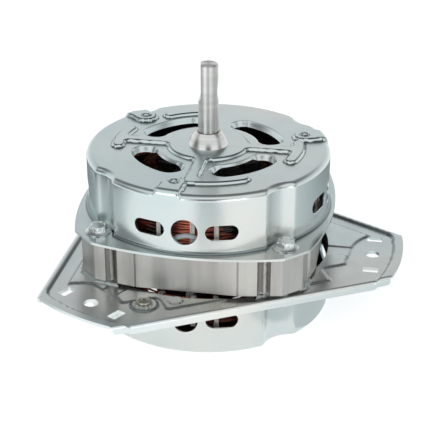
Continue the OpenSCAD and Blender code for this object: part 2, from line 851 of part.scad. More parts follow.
// What lies outside a distance from the axis at the front's long side
module front_part(from) {
  rotate(-wing_a / 2) translate([from, -wing_end]) square([wing_end, 2 * wing_end]);
}

// Raised middle, which leaves the wings' ends and the two pockets at the front low
module raised_middle() {
  difference() {
    bracket_outline(side_in - border_w - valley_w, wing_end + eps);
    at_wings() translate([mount_pcd / 2 + wing_pad_out, 0]) circle(wing_pad_r);
    rotate(-wing_a / 2) for (m = [0, 1]) mirror([0, m]) translate([pocket_in, pocket_x]) square(wing_end);
  }
}

module back_borders() {
  difference() {
    bracket_outline(side_in, wing_end);
    bracket_outline(side_in - border_w, wing_end + eps);
    front_part(side_in - border_w - valley_w);
  }
}

module mounting_bracket() {
  color("#bcc6c8") difference() {
    union() {
      translate([0, 0, plate_bottom]) linear_extrude(plate_t) bracket_outline(side_in, wing_end);
      linear_extrude(panel_h) {
        back_borders();
        difference() {
          raised_middle();
          at_wings() translate([0, -strip_w]) square([wing_end, 2 * strip_w]);
        }
        translate(earth_at) circle(mark_d / 2);
      }
      linear_extrude(panel_h / 2) raised_middle();
      linear_extrude(panel_h + mark_h) translate(mark_at) circle(mark_d / 2);
      linear_extrude(stack_z) intersection() {
        bracket_outline(side_in, wing_end);
        core_outline();
        for (s = [0:3]) rotate(s * quarter_a) translate([seat_in, seat_in]) square(core_corner);
      }
      translate([0, 0, -lip_h]) linear_extrude(lip_h + plate_bottom + eps) difference() {
        bracket_outline(side_in, wing_end);
        bracket_outline(side_in - lip_t, wing_end + eps);
      }
    }
    translate([0, 0, plate_bottom - eps]) linear_extrude(stack_z - plate_bottom + 2 * eps) {
      circle(d = bracket_open);
      at_bolts() circle(bolt_d / 2 + bolt_gap);
      at_wings() translate([mount_pcd / 2, 0]) circle(d = mount_d);
      at_wings() for (m = [-1, 1]) translate([mount_pcd / 2, m * key_y])
        square([key_l, key_w], center = true);
      translate(earth_at) circle(earth_d / 2 + lay_gap);
    }
  }
}

// Fasteners
module hexagon(af, h) {
  cylinder(d = af / cos(30), h = h, $fn = 6);
}

module through_bolts() {
  flange_t = 1.2;
  color("#dfe3e4") at_bolts() {
    translate([0, 0, bolt_end]) cylinder(d = bolt_d, h = stack_top + sheet - bolt_end + eps);
    translate([0, 0, stack_top + sheet]) cylinder(d = head_flange_d, h = flange_t);
    translate([0, 0, stack_top + sheet + flange_t - eps]) hexagon(bolt_af, head_h - flange_t + eps);
  }
}

module spring_washers() {
  color("#b9bdbe") at_bolts() translate([0, 0, nut_top]) ring(bolt_af / 2, bolt_d / 2 + lay_gap, spring_t);
}

module bolt_nuts() {
  color("#cfd3d4") at_bolts() translate([0, 0, nut_top - nut_h]) difference() {
    hexagon(bolt_af, nut_h);
    translate([0, 0, -eps]) cylinder(d = bolt_d + lay_gap, h = nut_h + 2 * eps);
  }
}

module earth_screw() {
  cross_w = 1;
  cross_deep = 1.2;
  color("#d8d2b0") translate([earth_at.x, earth_at.y, panel_h + earth_washer_t]) difference() {
    union() {
      cylinder(d = earth_head_d, h = earth_head_h);
      translate([0, 0, -earth_washer_t - earth_l])
        cylinder(d = earth_d, h = earth_washer_t + earth_l + eps);
    }
    for (s = [0, 1]) rotate(corner_a + s * quarter_a) translate([0, 0, earth_head_h])
      cube([earth_d, cross_w, 2 * cross_deep], center = true);
  }
}

module earth_washer() {
  past = 0.8;
  color("#c9b25a") translate([earth_at.x, earth_at.y, panel_h])
    ring(earth_head_d / 2 + past, earth_d / 2 + lay_gap, earth_washer_t);
}

stator_core();
slot_liners();
slot_wedges();
main_winding();
auxiliary_winding();
winding_ties();
thermal_protector();
rotor_core();
rotor_cage();
shaft();
upper_bush();
lower_bush();
upper_felt();
lower_felt();
upper_retainer();
lower_retainer();
thrust_washers();
oil_slingers();
upper_cover();
lower_cover();
lead_grommet();
mounting_bracket();
through_bolts();
spring_washers();
bolt_nuts();
earth_screw();
earth_washer();
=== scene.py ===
import math
import bpy
import numpy as np
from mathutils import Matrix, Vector


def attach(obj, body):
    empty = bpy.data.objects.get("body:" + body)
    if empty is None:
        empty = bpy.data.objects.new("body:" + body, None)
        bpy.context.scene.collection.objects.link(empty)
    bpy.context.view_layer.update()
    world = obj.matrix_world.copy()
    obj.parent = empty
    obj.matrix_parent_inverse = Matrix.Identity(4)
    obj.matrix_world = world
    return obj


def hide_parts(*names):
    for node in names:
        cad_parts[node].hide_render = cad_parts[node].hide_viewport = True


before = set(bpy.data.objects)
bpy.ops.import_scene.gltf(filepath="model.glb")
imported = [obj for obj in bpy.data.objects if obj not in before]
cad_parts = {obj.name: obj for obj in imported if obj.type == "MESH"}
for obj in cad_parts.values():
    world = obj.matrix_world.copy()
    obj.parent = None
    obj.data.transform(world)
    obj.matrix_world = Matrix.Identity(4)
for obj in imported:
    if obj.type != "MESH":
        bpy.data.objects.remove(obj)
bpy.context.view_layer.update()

# Main sizes of the motor in millimetres, z up from the top of the bracket's wing ends
MM = 0.001
TURN = 2 * math.pi
FAR = 99.0
STACK_LOW, STACK_TOP, STACK_MID = 2.0, 22.0, 12.0
UPPER_FACE, FOOT, PLATE_LOW = 54.0, -29.6, -1.6
SHEET, PLATE = 1.2, 1.6
SIDES = [k * TURN / 4 for k in range(4)]
CORNERS = [TURN / 8 + a for a in SIDES]
BOLT_R = 63.5
BOLTS = [(BOLT_R * math.cos(a), BOLT_R * math.sin(a)) for a in CORNERS]


# Small number helpers
def smooth(t):
    """Soft step: 0 below 0, 1 above 1, and t squared times (3 - 2t) between."""
    t = np.clip(t, 0, 1)
    return t * t * (3 - 2 * t)


def soft_min(a, b, k):
    """Least of two fields, with the corner between them rounded over the width k."""
    h = np.clip(0.5 + 0.5 * (b - a) / k, 0, 1)
    return b + (a - b) * h - k * h * (1 - h)


def spow(x, p):
    """Power of the size of x, with the sign of x."""
    return np.sign(x) * np.abs(x) ** p


def quarter_angle(th):
    """Angle from the nearest of the four sides' middles."""
    return (th + TURN / 8) % (TURN / 4) - TURN / 8


def wrapped(a):
    """Angle brought to within half a turn of 0."""
    return (a + math.pi) % TURN - math.pi


def turned(x, y, a):
    """The point x, y in axes that are turned by the angle a."""
    return x * math.cos(a) + y * math.sin(a), y * math.cos(a) - x * math.sin(a)


def unit(w):
    """Directions of one vector or of many, each brought to length 1."""
    return w / np.linalg.norm(w, axis=-1, keepdims=True)


def lengths_along(line):
    """Length along a line from its start to each of its points."""
    return np.r_[0, np.cumsum(np.linalg.norm(np.diff(line, axis=0), axis=1))]


# Distances to flat shapes, below zero inside
def disc(x, y, r):
    return np.hypot(x, y) - r


def capsule(x, y, half, r):
    """Slot along x with round ends: half its straight length, and its radius."""
    return np.hypot(np.maximum(np.abs(x) - half, 0), y) - r


def block(x, y, hx, hy):
    dx, dy = np.abs(x) - hx, np.abs(y) - hy
    return np.hypot(np.maximum(dx, 0), np.maximum(dy, 0)) + np.minimum(np.maximum(dx, dy), 0)


def arc_band(x, y, r, half, mid, reach):
    """Band along an arc of radius r round the middle angle, with round ends."""
    a, rho = wrapped(np.arctan2(y, x) - mid), np.hypot(x, y)
    end = np.hypot(rho * np.cos(a) - r * math.cos(reach), rho * np.abs(np.sin(a)) - r * math.sin(reach))
    return np.where(np.abs(a) > reach, end, np.abs(rho - r)) - half


# Surfaces
def outward(points, faces):
    """Turns the faces of a closed surface so that its volume comes out above zero."""
    a, b, c = (points[faces[:, k]] for k in range(3))
    return faces if np.einsum("ij,ij->", a, np.cross(b, c)) > 0 else faces[:, ::-1]


def face_normals(points, tris):
    a, b, c = (points[tris[:, k]] for k in range(3))
    return np.cross(b - a, c - a)


def edges_of(tris):
    return np.concatenate([tris[:, [0, 1]], tris[:, [1, 2]], tris[:, [2, 0]]])


def grid_triangles(rows, cols, wrap):
    """Two triangles for each cell of a grid, with the diagonal changing sides from cell to cell."""
    i = np.arange(rows - 1)[:, None]
    j = np.arange(cols if wrap else cols - 1)[None, :]
    a = i * cols + j
    b = i * cols + (j + 1) % cols
    c, d = a + cols, b + cols
    even = ((i + j) % 2 == 0).ravel()[:, None]
    a, b, c, d = (q.ravel() for q in (a, b, c, d))
    one = np.where(even, np.c_[a, b, d], np.c_[a, b, c])
    two = np.where(even, np.c_[a, d, c], np.c_[b, d, c])
    return np.concatenate([one, two])


def round_about(r, z, th, centre=(0, 0)):
    """Points at the radius r, the height z and the angle th round the centre."""
    r, z, th = np.broadcast_arrays(r, z, th)
    return np.stack([centre[0] + r * np.cos(th), centre[1] + r * np.sin(th), z], -1)


def closed_rings(rings, joined=False):
    """Closed surface over rings of points set one after another. The last ring is joined to the first, or each end is
    closed by a fan round the ring's middle."""
    m, n = rings.shape[:2]
    points = rings.reshape(-1, 3)
    i = np.arange(m if joined else m - 1)[:, None]
    j = np.arange(n)
    k = (j + 1) % n
    low, high = i * n, (i + 1) % m * n
    a, b, c, d = (q.ravel() for q in (low + j, low + k, high + j, high + k))
    faces = np.concatenate([np.c_[a, b, d], np.c_[a, d, c]])
    if not joined:
        last = (m - 1) * n
        points = np.concatenate([points, rings[[0, -1]].mean(1)])
        faces = np.concatenate([faces, np.c_[np.full(n, m * n), k, j],
                                np.c_[np.full(n, m * n + 1), last + j, last + k]])
    return points, outward(points, faces)


def snap(where, edges, field, level, held, turning):
    """Moves grid points onto the line field = level: on each grid edge that the line crosses, the nearer
    end goes to the crossing. Points that already lie on a line are held."""
    f = field(where) - level
    a, b = edges[:, 0], edges[:, 1]
    cross = f[a] * f[b] < 0
    a, b = a[cross], b[cross]
    if not len(a):
        return
    step = where[b] - where[a]
    if turning:
        step[:, 0] = wrapped(step[:, 0])
    lo, hi = np.zeros(len(a)), np.ones(len(a))
    side = f[a]
    for _ in range(12):
        mid = (lo + hi) / 2
        same = (field(where[a] + step * mid[:, None]) - level) * side > 0
        lo, hi = np.where(same, mid, lo), np.where(same, hi, mid)
    t = (lo + hi) / 2
    near_a = np.where(held[a], False, np.where(held[b], True, t < 0.5))
    who = np.where(near_a, a, b)
    move = np.where(near_a, t, 1 - t)
    target = where[a] + step * t[:, None]
    free = ~held[who]
    who, move, target = who[free], move[free], target[free]
    order = np.lexsort((move, who))
    who, target = who[order], target[order]
    first = np.r_[True, who[1:] != who[:-1]]
    where[who[first]] = target[first]
    held[who[first]] = True


def skin_normals(place, q, step, tris):
    """Normals of the surface place(q), from small steps along its two parameters, turned to the side that the
    triangles face."""
    du, dv = np.array([step[0], 0.0]), np.array([0.0, step[1]])
    n = np.cross(place(q + du) - place(q - du), place(q + dv) - place(q - dv))
    n /= np.maximum(np.linalg.norm(n, axis=1, keepdims=True), 1e-12)
    return n if (face_normals(place(q), tris) * n[tris[:, 0]]).sum() > 0 else -n


def steepness(normals):
    """Tilt of a surface from level, as a share of the steepest pressed wall."""
    return np.arccos(np.clip(np.abs(normals[:, 2]), 0, 1)) / STEEPEST


def thicken(points, tris, t, normals, pressed):
    """Closed sheet: the skin, its copy set back by t along the normals, and a wall along each free edge. Gives the
    points, the faces, the points' normals, how many of the faces are shaded by them, and the points' painted shade
    along the pressed walls."""
    used = np.unique(tris)
    index = np.full(len(points), -1)
    index[used] = np.arange(len(used))
    points, normals, pressed, tris = points[used], normals[used], pressed[used], index[tris]
    m = len(points)
    edges = edges_of(tris)
    key = np.sort(edges, 1)
    code = key[:, 0].astype(np.int64) * m + key[:, 1]
    _, index, count = np.unique(code, return_index=True, return_counts=True)
    a, b = edges[index[count == 1]].T
    walls = np.concatenate([np.c_[b, a, a + m], np.c_[b, a + m, b + m]])
    return (np.concatenate([points, points - t * normals]), np.concatenate([tris, tris[:, ::-1] + m, walls]),
            np.concatenate([normals, -normals]), 2 * len(tris), np.concatenate([pressed, 0 * pressed]))


def fold(d, r):
    """Rolls a flat margin over an edge: d is the flat distance to the edge, and r the bend's radius. Gives the
    distance after the roll and the drop. Past a quarter turn the margin runs straight down."""
    s = r - d
    arc = np.clip(s / r, 0, math.pi / 2)
    new = np.where(s <= 0, d, r - r * np.sin(arc))
    drop = np.where(s <= 0, 0, r - r * np.cos(arc) + np.maximum(s - r * math.pi / 2, 0))
    return new, drop


def rounded_profile(corners):
    """Fine line through corners (r, z, radius), each corner rounded by an arc. Gives the lengths along it, r, z
    and the lengths at which each corner's arc starts and ends."""
    p = np.array([c[:2] for c in corners], float)
    line, marks = [p[0]], []
    for i in range(1, len(p) - 1):
        u, v = unit(p[i - 1] - p[i]), unit(p[i + 1] - p[i])
        half = math.acos(max(-1, min(1, float(u @ v)))) / 2
        radius = corners[i][2]
        arc = [p[i]]
        if radius:
            mid, side = unit(u + v), unit(v - u)
            centre = p[i] + mid * radius / math.sin(half)
            arc = [centre + radius * (side * math.sin(w) - mid * math.cos(w))
                   for w in np.linspace(-1, 1, 25) * (math.pi / 2 - half)]
        marks.append((len(line), len(line) + len(arc) - 1))
        line.extend(arc)
    line = np.array(line + [p[-1]])
    s = lengths_along(line)
    return s, line[:, 0], line[:, 1], [(s[i], s[j]) for i, j in marks]


def revolve(profile, n=64, centre=(0, 0)):
    """Closed turned form: the profile's points (r, z) from axis to axis, swept round the centre. A point's third
    number is a distance across flats, which cuts its circle to a hexagon."""
    r, z, flats = np.array([(*row, FAR)[:3] for row in profile], float).T[:, :, None]
    th = np.arange(n) * TURN / n
    hexagon = flats / 2 / np.cos((th + TURN / 12) % (TURN / 6) - TURN / 12)
    return closed_rings(round_about(np.minimum(r, hexagon), z, th, centre))


def turned_ring(section, n=64):
    """Closed ring: a closed section (r, z) swept round the axis."""
    r, z = np.array(section, float).T[:, :, None]
    return closed_rings(round_about(r, z, np.arange(n) * TURN / n), joined=True)


def tube(path, radius, sides=6, closed=False, first=(0.0, 0.0, 1.0)):
    """Round bar along a path: at each point a ring square to the path, its start direction carried along the path
    without twist. Radius is one number or one for each point."""
    path = np.asarray(path, float)
    tangent = unit(np.roll(path, -1, 0) - np.roll(path, 1, 0) if closed else np.gradient(path, axis=0))
    e = np.zeros_like(path)
    guide = np.array(first)
    for i, t in enumerate(tangent):
        guide = guide - (guide @ t) * t
        if np.linalg.norm(guide) < 1e-6:
            guide = np.array([1.0, 0, 0]) - t[0] * t
        e[i] = guide = unit(guide)
    a = (np.arange(sides) * TURN / sides)[None, :, None]
    ring = e[:, None] * np.cos(a) + np.cross(tangent, e)[:, None] * np.sin(a)
    radius = np.broadcast_to(np.asarray(radius, float), (len(path),))[:, None, None]
    return closed_rings(path[:, None] + radius * ring, closed)


def spun(part, turn):
    """The same part, turned about the axis."""
    points, faces = part
    c, s = math.cos(turn), math.sin(turn)
    return points @ np.array([[c, s, 0], [-s, c, 0], [0, 0, 1]]), faces


def lifted(part, scale, z):
    """The same part with its heights scaled by 1 or -1 and moved by z, and its normals with them."""
    points, faces, *own = part
    flip = np.array([1, 1, scale])
    points = points * flip
    if own:
        own[0] = own[0] * flip
    return (points + [0, 0, z], outward(points, faces), *own)


def shown(name, data):
    """New object in the scene."""
    obj = bpy.data.objects.new(name, data)
    bpy.context.scene.collection.objects.link(obj)
    return obj


def piece(name, parts, material, body, slot, stands_for=(), crease=38, inside=None):
    """One shown object from closed surfaces in millimetres, smooth but for creases above the angle. A sheet also
    brings its normals, the number of its faces that are shaded by them, and its painted shade along the pressed walls;
    the second half of those faces is its inside, which may have a finish of its own, such as a dark one that paints
    the shade inside a closed cover."""
    points, faces, shade, tone, within, base = [], [], [], [], [], 0
    for p, f, *own in parts:
        points.append(p * MM)
        faces.append(f + base)
        base += len(p)
        known = np.full((len(f), 3, 3), np.nan)
        if own:
            known[:own[1]] = own[0][f[:own[1]]]
        shade.append(known)
        tone.append(own[2] if own else np.zeros(len(p)))
        at = np.arange(len(f))
        within.append((at >= own[1] // 2) & (at < own[1]) if own else at < 0)
    points, faces = np.concatenate(points), np.concatenate(faces)
    mesh = bpy.data.meshes.new(name)
    mesh.from_pydata(points.tolist(), [], faces.tolist())
    mesh.polygons.foreach_set("use_smooth", np.ones(len(faces), bool))
    mesh.set_sharp_from_angle(angle=math.radians(crease))
    shade = np.concatenate(shade).reshape(-1, 3)
    known = ~np.isnan(shade[:, 0])
    if known.any():
        corner = np.empty(shade.size, np.float32)
        mesh.corner_normals.foreach_get("vector", corner)
        corner = np.where(known[:, None], shade, corner.reshape(-1, 3))
        mesh.normals_split_custom_set(corner.tolist())
        # The pressed attribute carries the painted shade along the pressed walls.
        mesh.attributes.new("pressed", "FLOAT", "POINT").data.foreach_set("value", np.concatenate(tone))
    mesh.materials.append(material)
    if inside is not None:
        mesh.materials.append(inside)
        mesh.polygons.foreach_set("material_index", np.concatenate(within).astype(np.int32))
    obj = shown(name, mesh)
    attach(obj, body)
    if stands_for:
        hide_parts(*stands_for)


# Sizes of the covers
UPPER_CAN, UPPER_TALL, UPPER_VENT = 60.0, 32.0, 12.2
LOWER_CAN, LOWER_TALL, LOWER_VENT = 61.5, 28.0, 9.8
FLUTE_C, FLUTE_R, FLUTE_SOFT, FLUTE_TIGHT, FLUTE_DEEP = 73.2, 15.7, 1.0, 0.75, 1.5
FLANGE_X, FLANGE_Y, FLANGE_PAST, FLANGE_CORNER, FLANGE_LINE = 45.47, 56.36, 3.2, 72.0, 66.0
# The last of these is the share of painted shade along the cover's foot bend.
LIP_ROOM, FOOT_BEND, FOOT_PAINTED_SHADE = 1.8, 2.0, 0.3
LET_IN_FROM, FACE_FROM, PAD_FROM = 46.0, 9.0, 35.0
PRESS_WALL, PAD_WALL, STEEPEST = 1.6, 1.5, math.radians(52)
FACE_DROP, SPIDER_RISE, PAD_RISE = 1.4, 1.5, 1.8
HUB_R, ARM_HALF, ARM_MID, ARM_REACH = 20.6, 3.7, 31.0, 12.5
BAR_R, SPIDER_SOFT = 44.3, 3.0
BARS = [np.radians(bar) for bar in ((-74, 16), (116, 12), (-3, 14), (177, 14))]
PADS = [math.radians(a) for a in (-98, 22, 142)]
PAD_MID, PAD_REACH, PAD_HALF = 69.0, 20.0, 6.5
PIN_R, PIN_HOLE, PIN_COLLAR, COLLAR_WALL, COLLAR_RISE = 49.0, 1.7, 2.7, 0.4, 0.45
WINDOW_R, WINDOW_HALF, WINDOW_REACH = 31.5, 5.6, math.radians(20.5)
WINDOW_BEND, WINDOW_DEEP, INNER_BEND, INNER_DEEP = 1.7, 2.7, 0.7, 1.1
FOOT_WINDOW_BEND, VENT_BEND, CUT_PAST = 0.5, 0.3, 0.1
VENT_R, SLOT_HALF, SLOT_R, SLOT_TURN = 6.3, 4.1, 3.6, math.radians(16.6)
RING_FLAT, RING_PROUD, RING_BACK, RING_EASE = 0.45, 0.012, 0.9, 0.2
LIP_SLOPE = [(0.0, 0.0), (0.08, 0.03), (0.18, 0.11), (0.32, 0.26), (0.6, 0.58), (0.88, 0.9)]
RECESS, RECESS_R, DOME_R, DOME_SUNK = 7.5, 44.0, 10.8, 3.6
COVER_COLS = 410


# Covers
def wall_radius(th, r_can):
    """Radius of a cover's wall: the can's circle, let in by a round flute at each of the four bolts."""
    a = quarter_angle(th - TURN / 8)
    across = FLUTE_C * np.sin(a)
    flute = FLUTE_C * np.cos(a) - np.sqrt(np.maximum(FLUTE_R ** 2 - across ** 2, 0))
    return soft_min(np.full_like(th, r_can), np.where(np.abs(across) < FLUTE_R, flute, FAR), FLUTE_SOFT)


def flange_radius(th, r_can, inside_lips):
    """Outline of a cover's flange: four bowed sides and four cut corners, and for the lower cover the inside of
    the bracket's lips."""
    mid = r_can + FLANGE_PAST
    rise = mid - FLANGE_Y
    arc = (FLANGE_X ** 2 + rise ** 2) / (2 * rise)
    a, off = quarter_angle(th), arc - mid
    side = -off * np.cos(a) + np.sqrt(arc ** 2 - (off * np.sin(a)) ** 2)
    out = np.minimum(side, FLANGE_CORNER / np.cos(quarter_angle(th - TURN / 8)))
    if inside_lips:
        out = np.minimum(out, (SIDE_IN - LIP_ROOM) / np.cos(wrapped(3 * (th - TURN / 6)) / 3))
    return out


def windows(x, y):
    """Four kidney windows between the arms of the cover's face."""
    return np.minimum.reduce([arc_band(x, y, WINDOW_R, WINDOW_HALF, a, WINDOW_REACH) for a in CORNERS])


def raised_spider(x, y):
    """Raised pressing of the face: a hub, three arms, and a bar along the rim at each arm's end and at the back."""
    d = disc(x, y, HUB_R)
    for a in (0.0, math.pi, -math.pi / 2):
        u, v = turned(x, y, a)
        d = soft_min(d, capsule(u - ARM_MID, v, ARM_REACH, ARM_HALF), SPIDER_SOFT)
    for mid, reach in BARS:
        d = soft_min(d, arc_band(x, y, BAR_R, ARM_HALF, mid, reach), SPIDER_SOFT)
    return d


def rim_pads(x, y):
    """Three flat pads that run out through the rim, round at their inner ends."""
    along = [turned(x, y, a) for a in PADS]
    return np.minimum.reduce([capsule(u - PAD_MID, v, PAD_REACH, PAD_HALF) for u, v in along])


def from_pins(x, y):
    """Distance from the middle of the nearest riveted pin."""
    return np.minimum.reduce([np.hypot(x - PIN_R * math.cos(a), y - PIN_R * math.sin(a)) for a in PADS])


def side_vents(th, z, r_can, z_mid):
    """One round vent in the middle of each side and a long one at either hand."""
    a = quarter_angle(th) * r_can
    return np.minimum(disc(a, z - z_mid, VENT_R),
                      capsule(np.abs(a) - SLOT_TURN * r_can, z - z_mid, SLOT_HALF, SLOT_R))


def band_line(r, half, reach):
    """Outline of an arc-shaped band with round ends: points, directions into the sheet, and the place along it, from
    0 on the outer arc over 1 at one end and 2 on the inner arc to 3 at the other end."""
    towards = lambda a: np.stack([np.cos(a), np.sin(a)], 1)
    arc = np.linspace(-reach, reach, 40, endpoint=False)
    cap = np.linspace(0, math.pi, 30, endpoint=False)
    rim, end_a, ins, end_b = (towards(a) for a in (arc, reach + cap, -arc, math.pi - reach + cap))
    ca, cb = r * np.array([math.cos(reach), math.sin(reach)]), r * np.array([math.cos(reach), -math.sin(reach)])
    points = np.concatenate([rim * (r + half), ca + half * end_a, ins * (r - half), cb + half * end_b])
    normals = np.concatenate([rim, end_a, -ins, end_b])
    return points, normals, np.concatenate([k + np.arange(n) / n for k, n in enumerate((40, 30, 40, 30))])


def slot_line(half, r):
    """Outline of a slot with round ends, or of a circle where half is 0: points and directions into the sheet."""
    a = np.linspace(0, TURN, 72, endpoint=False) + 0.001
    normals = np.stack([np.cos(a), np.sin(a)], 1)
    return normals * r + np.stack([half * np.sign(np.cos(a)), 0 * a], 1), normals


def hole_ring(base, into, place, bend, deep, sloped=False):
    """Turned edge of a hole, a closed section swept round the hole's outline: flat on the sheet, then over the bend's
    width down to the depth deep, rolled or sloped, and back along the underside. Bend and depth may vary round it."""
    level = np.zeros(len(base))
    bend, deep = bend + level, deep + level
    outer = bend.max() + RING_FLAT
    rows = [(outer, -RING_PROUD)]
    if sloped:
        rows += [(bend * (1 - a), deep * d - RING_PROUD) for a, d in LIP_SLOPE]
    else:
        rows += [(bend * (1 - math.sin(w)), bend * (1 - math.cos(w)) - RING_PROUD)
                 for w in np.linspace(0, math.pi / 2, 7)]
    rows += [(0.0, deep), (np.minimum(RING_BACK, bend + RING_EASE), deep), (bend.max() + RING_EASE, SHEET),
             (outer, SHEET)]
    rings = [place(base + into * (d + level)[:, None], h + level) for d, h in rows]
    return closed_rings(np.array(rings), joined=True)


def cover_skin(r_can, tall, vent_up, corners, rim_mark, rows, is_upper):
    """Pressed cover as one sheet. Round the axis by the angle, and along the profile by its length: face, rim,
    wall and flange. The wall is let in by the flutes, and the windows and vents are cut with rolled margins."""
    s_line, r_line, z_line, marks = rounded_profile(corners)
    rim_in, rim_out = marks[rim_mark]
    foot_in, foot_out = marks[rim_mark + 1]
    z_foot, vent_z = SHEET - tall, vent_up - tall
    s_end = s_line[-1]
    r_rim = np.interp(rim_in, s_line, r_line)
    z_top = np.interp(rim_out, s_line, z_line)

    def plan(q):
        r = np.interp(q[:, 1], s_line, r_line)
        return r * np.cos(q[:, 0]), r * np.sin(q[:, 0]), r

    def on_face(field):
        def value(q):
            x, y, r = plan(q)
            return np.where((q[:, 1] < rim_in) & (r > FACE_FROM), field(x, y), FAR)
        return value

    def vent_field(q):
        d = side_vents(q[:, 0], np.interp(q[:, 1], s_line, z_line), r_can, vent_z)
        return np.where((q[:, 1] > rim_out) & (q[:, 1] < foot_in), d, FAR)

    def pad_field(q):
        x, y, r = plan(q)
        return np.where(r > PAD_FROM, rim_pads(x, y), FAR)

    window_field, spider_field, pin_field = on_face(windows), on_face(raised_spider), on_face(from_pins)

    def place(q):
        th, s = q[:, 0], np.clip(q[:, 1], 0, s_end)
        q = np.stack([th, s], 1)
        r0, z = np.interp(s, s_line, r_line), np.interp(s, s_line, z_line)
        wall = wall_radius(th, r_can)
        let_in = r_can - wall
        r = r0 - let_in * np.where(s < rim_in, smooth((r0 - LET_IN_FROM) / (r_rim - LET_IN_FROM)), 1.0)
        tight = 1 - FLUTE_TIGHT * np.clip(let_in / FLUTE_DEEP, 0, 1)
        is_wall = (s >= rim_out) & (s <= foot_in)
        share = (z - z_top) / (z_foot + FOOT_BEND - z_top)
        z = np.where(is_wall, z_top + share * (z_foot + FOOT_BEND * tight - z_top), z)
        is_foot = (s > foot_in) & (s <= foot_out)
        r = np.where(is_foot, wall + (r0 - r_can) * tight, r)
        z = np.where(is_foot, z_foot + (z - z_foot) * tight, z)
        inner = wall + FOOT_BEND * tight
        out = inner + (s - foot_out) / (s_end - foot_out) * (flange_radius(th, r_can, not is_upper) - inner)
        r = np.where(s > foot_out, out, r)
        if is_upper:
            on_top = s < rim_in
            fade = np.where(s <= rim_out, 1.0, np.where(is_wall, np.clip(1 - share, 0, 1) ** 4, 0.0))
            pad = PAD_RISE * smooth(-pad_field(q) / PAD_WALL) * fade
            spider = SPIDER_RISE * smooth(-spider_field(q) / PRESS_WALL) * on_top
            collar = COLLAR_RISE * smooth((PIN_COLLAR - pin_field(q)) / COLLAR_WALL) * on_top
            z = z + np.maximum(pad, spider) + collar
        return round_about(r, z, th)

    th = np.tile(np.arange(COVER_COLS) * TURN / COVER_COLS, len(rows))
    q = np.stack([th, np.repeat(rows, COVER_COLS)], 1)
    tris = grid_triangles(len(rows), COVER_COLS, True)
    edges = np.unique(np.sort(edges_of(tris), 1), axis=0)
    held = np.zeros(len(q), bool)
    held[:COVER_COLS] = held[-COVER_COLS:] = True
    window_cut = (WINDOW_BEND if is_upper else FOOT_WINDOW_BEND) + CUT_PAST
    cuts = [(window_field, window_cut), (vent_field, VENT_BEND + CUT_PAST)]
    lines = []
    if is_upper:
        cuts.append((pin_field, PIN_HOLE))
        lines = [(pad_field, -PAD_WALL / 2), (spider_field, -PRESS_WALL / 2)]
    for field, level in cuts + lines:
        snap(q, edges, field, level, held, True)
    first = q[tris[:, 0], 0]
    mean_th = first + wrapped(q[tris, 0] - first[:, None]).mean(1)
    mean = np.stack([mean_th, q[tris, 1].mean(1)], 1)
    tris = tris[np.all([field(mean) > level for field, level in cuts], 0)]
    points = place(q)
    mid_s = q[tris, 1].mean(1)
    on_wall = (mid_s > rim_out) & (mid_s < foot_in)
    if (face_normals(points, tris)[:, :2] * points[tris[:, 0], :2]).sum(1)[on_wall].sum() < 0:
        tris = tris[:, ::-1]
    normals = skin_normals(place, q, (0.002, 0.1), tris)
    # Painted shade: on the upper cover's face the points darken with the tilt of the pressed walls, and the foot's bend
    # gets a fixed share of painted shade.
    pressed = np.where(q[:, 1] < rim_in - 0.5, np.clip(steepness(normals), 0, 1), 0) * is_upper
    at_foot = (q[:, 1] > foot_in + 0.1) & (q[:, 1] < foot_out - 0.1)
    parts = [thicken(points, tris, SHEET, normals, np.where(at_foot, FOOT_PAINTED_SHADE, pressed))]

    z_face = -FACE_DROP if is_upper else -RECESS
    base, into, at = band_line(WINDOW_R, WINDOW_HALF, WINDOW_REACH)
    bend, deep = FOOT_WINDOW_BEND, SHEET
    if is_upper:
        inner_arc = smooth((at - 1.75) / 0.3) * smooth((3.25 - at) / 0.3)
        bend = WINDOW_BEND + (INNER_BEND - WINDOW_BEND) * inner_arc
        deep = WINDOW_DEEP + (INNER_DEEP - WINDOW_DEEP) * inner_arc

    def on_top_sheet(flat, h):
        return np.c_[flat, z_face - h]

    for side, corner in zip(SIDES, CORNERS):
        c, s = math.cos(corner), math.sin(corner)
        turn = np.array([[c, s], [-s, c]])
        parts.append(hole_ring(base @ turn, into @ turn, on_top_sheet, bend, deep, is_upper))
        for off, half, r in ((0.0, 0.0, VENT_R), (SLOT_TURN, SLOT_HALF, SLOT_R), (-SLOT_TURN, SLOT_HALF, SLOT_R)):

            def on_can(flat, h, middle=side + off):
                return round_about(r_can - h, vent_z + flat[:, 1], middle + flat[:, 0] / r_can)

            parts.append(hole_ring(*slot_line(half, r), on_can, VENT_BEND, SHEET))
    return parts


def spaced(start, parts):
    """Row places set end to end, from pieces (to, count)."""
    out = []
    for end, n in parts:
        out.extend(np.linspace(start, end, n, endpoint=False))
        start = end
    return np.array(out + [start])


def upper_cover_skin():
    """Upper cover: flat face from the boss out, rim, and the wall down to the flange. The rows crowd where the
    windows and the arms lie."""
    start, fine_from, fine_to, z_foot = 9.6, 23.0, 41.0, SHEET - UPPER_TALL
    corners = [(start, -FACE_DROP, 0.0), (UPPER_CAN, -FACE_DROP, 2.8), (UPPER_CAN, z_foot, FOOT_BEND),
               (FLANGE_LINE, z_foot, 0.0)]
    s, _, _, (rim, foot) = rounded_profile(corners)
    rows = spaced(0, [(fine_from - start, 19), (fine_to - start, 30), (rim[0], 24), (rim[1], 8), (foot[0], 12),
                      (foot[1], 4), (s[-1], 4)])
    parts = cover_skin(UPPER_CAN, UPPER_TALL, UPPER_VENT, corners, 0, rows, True)
    return [lifted(part, 1, UPPER_FACE) for part in parts]


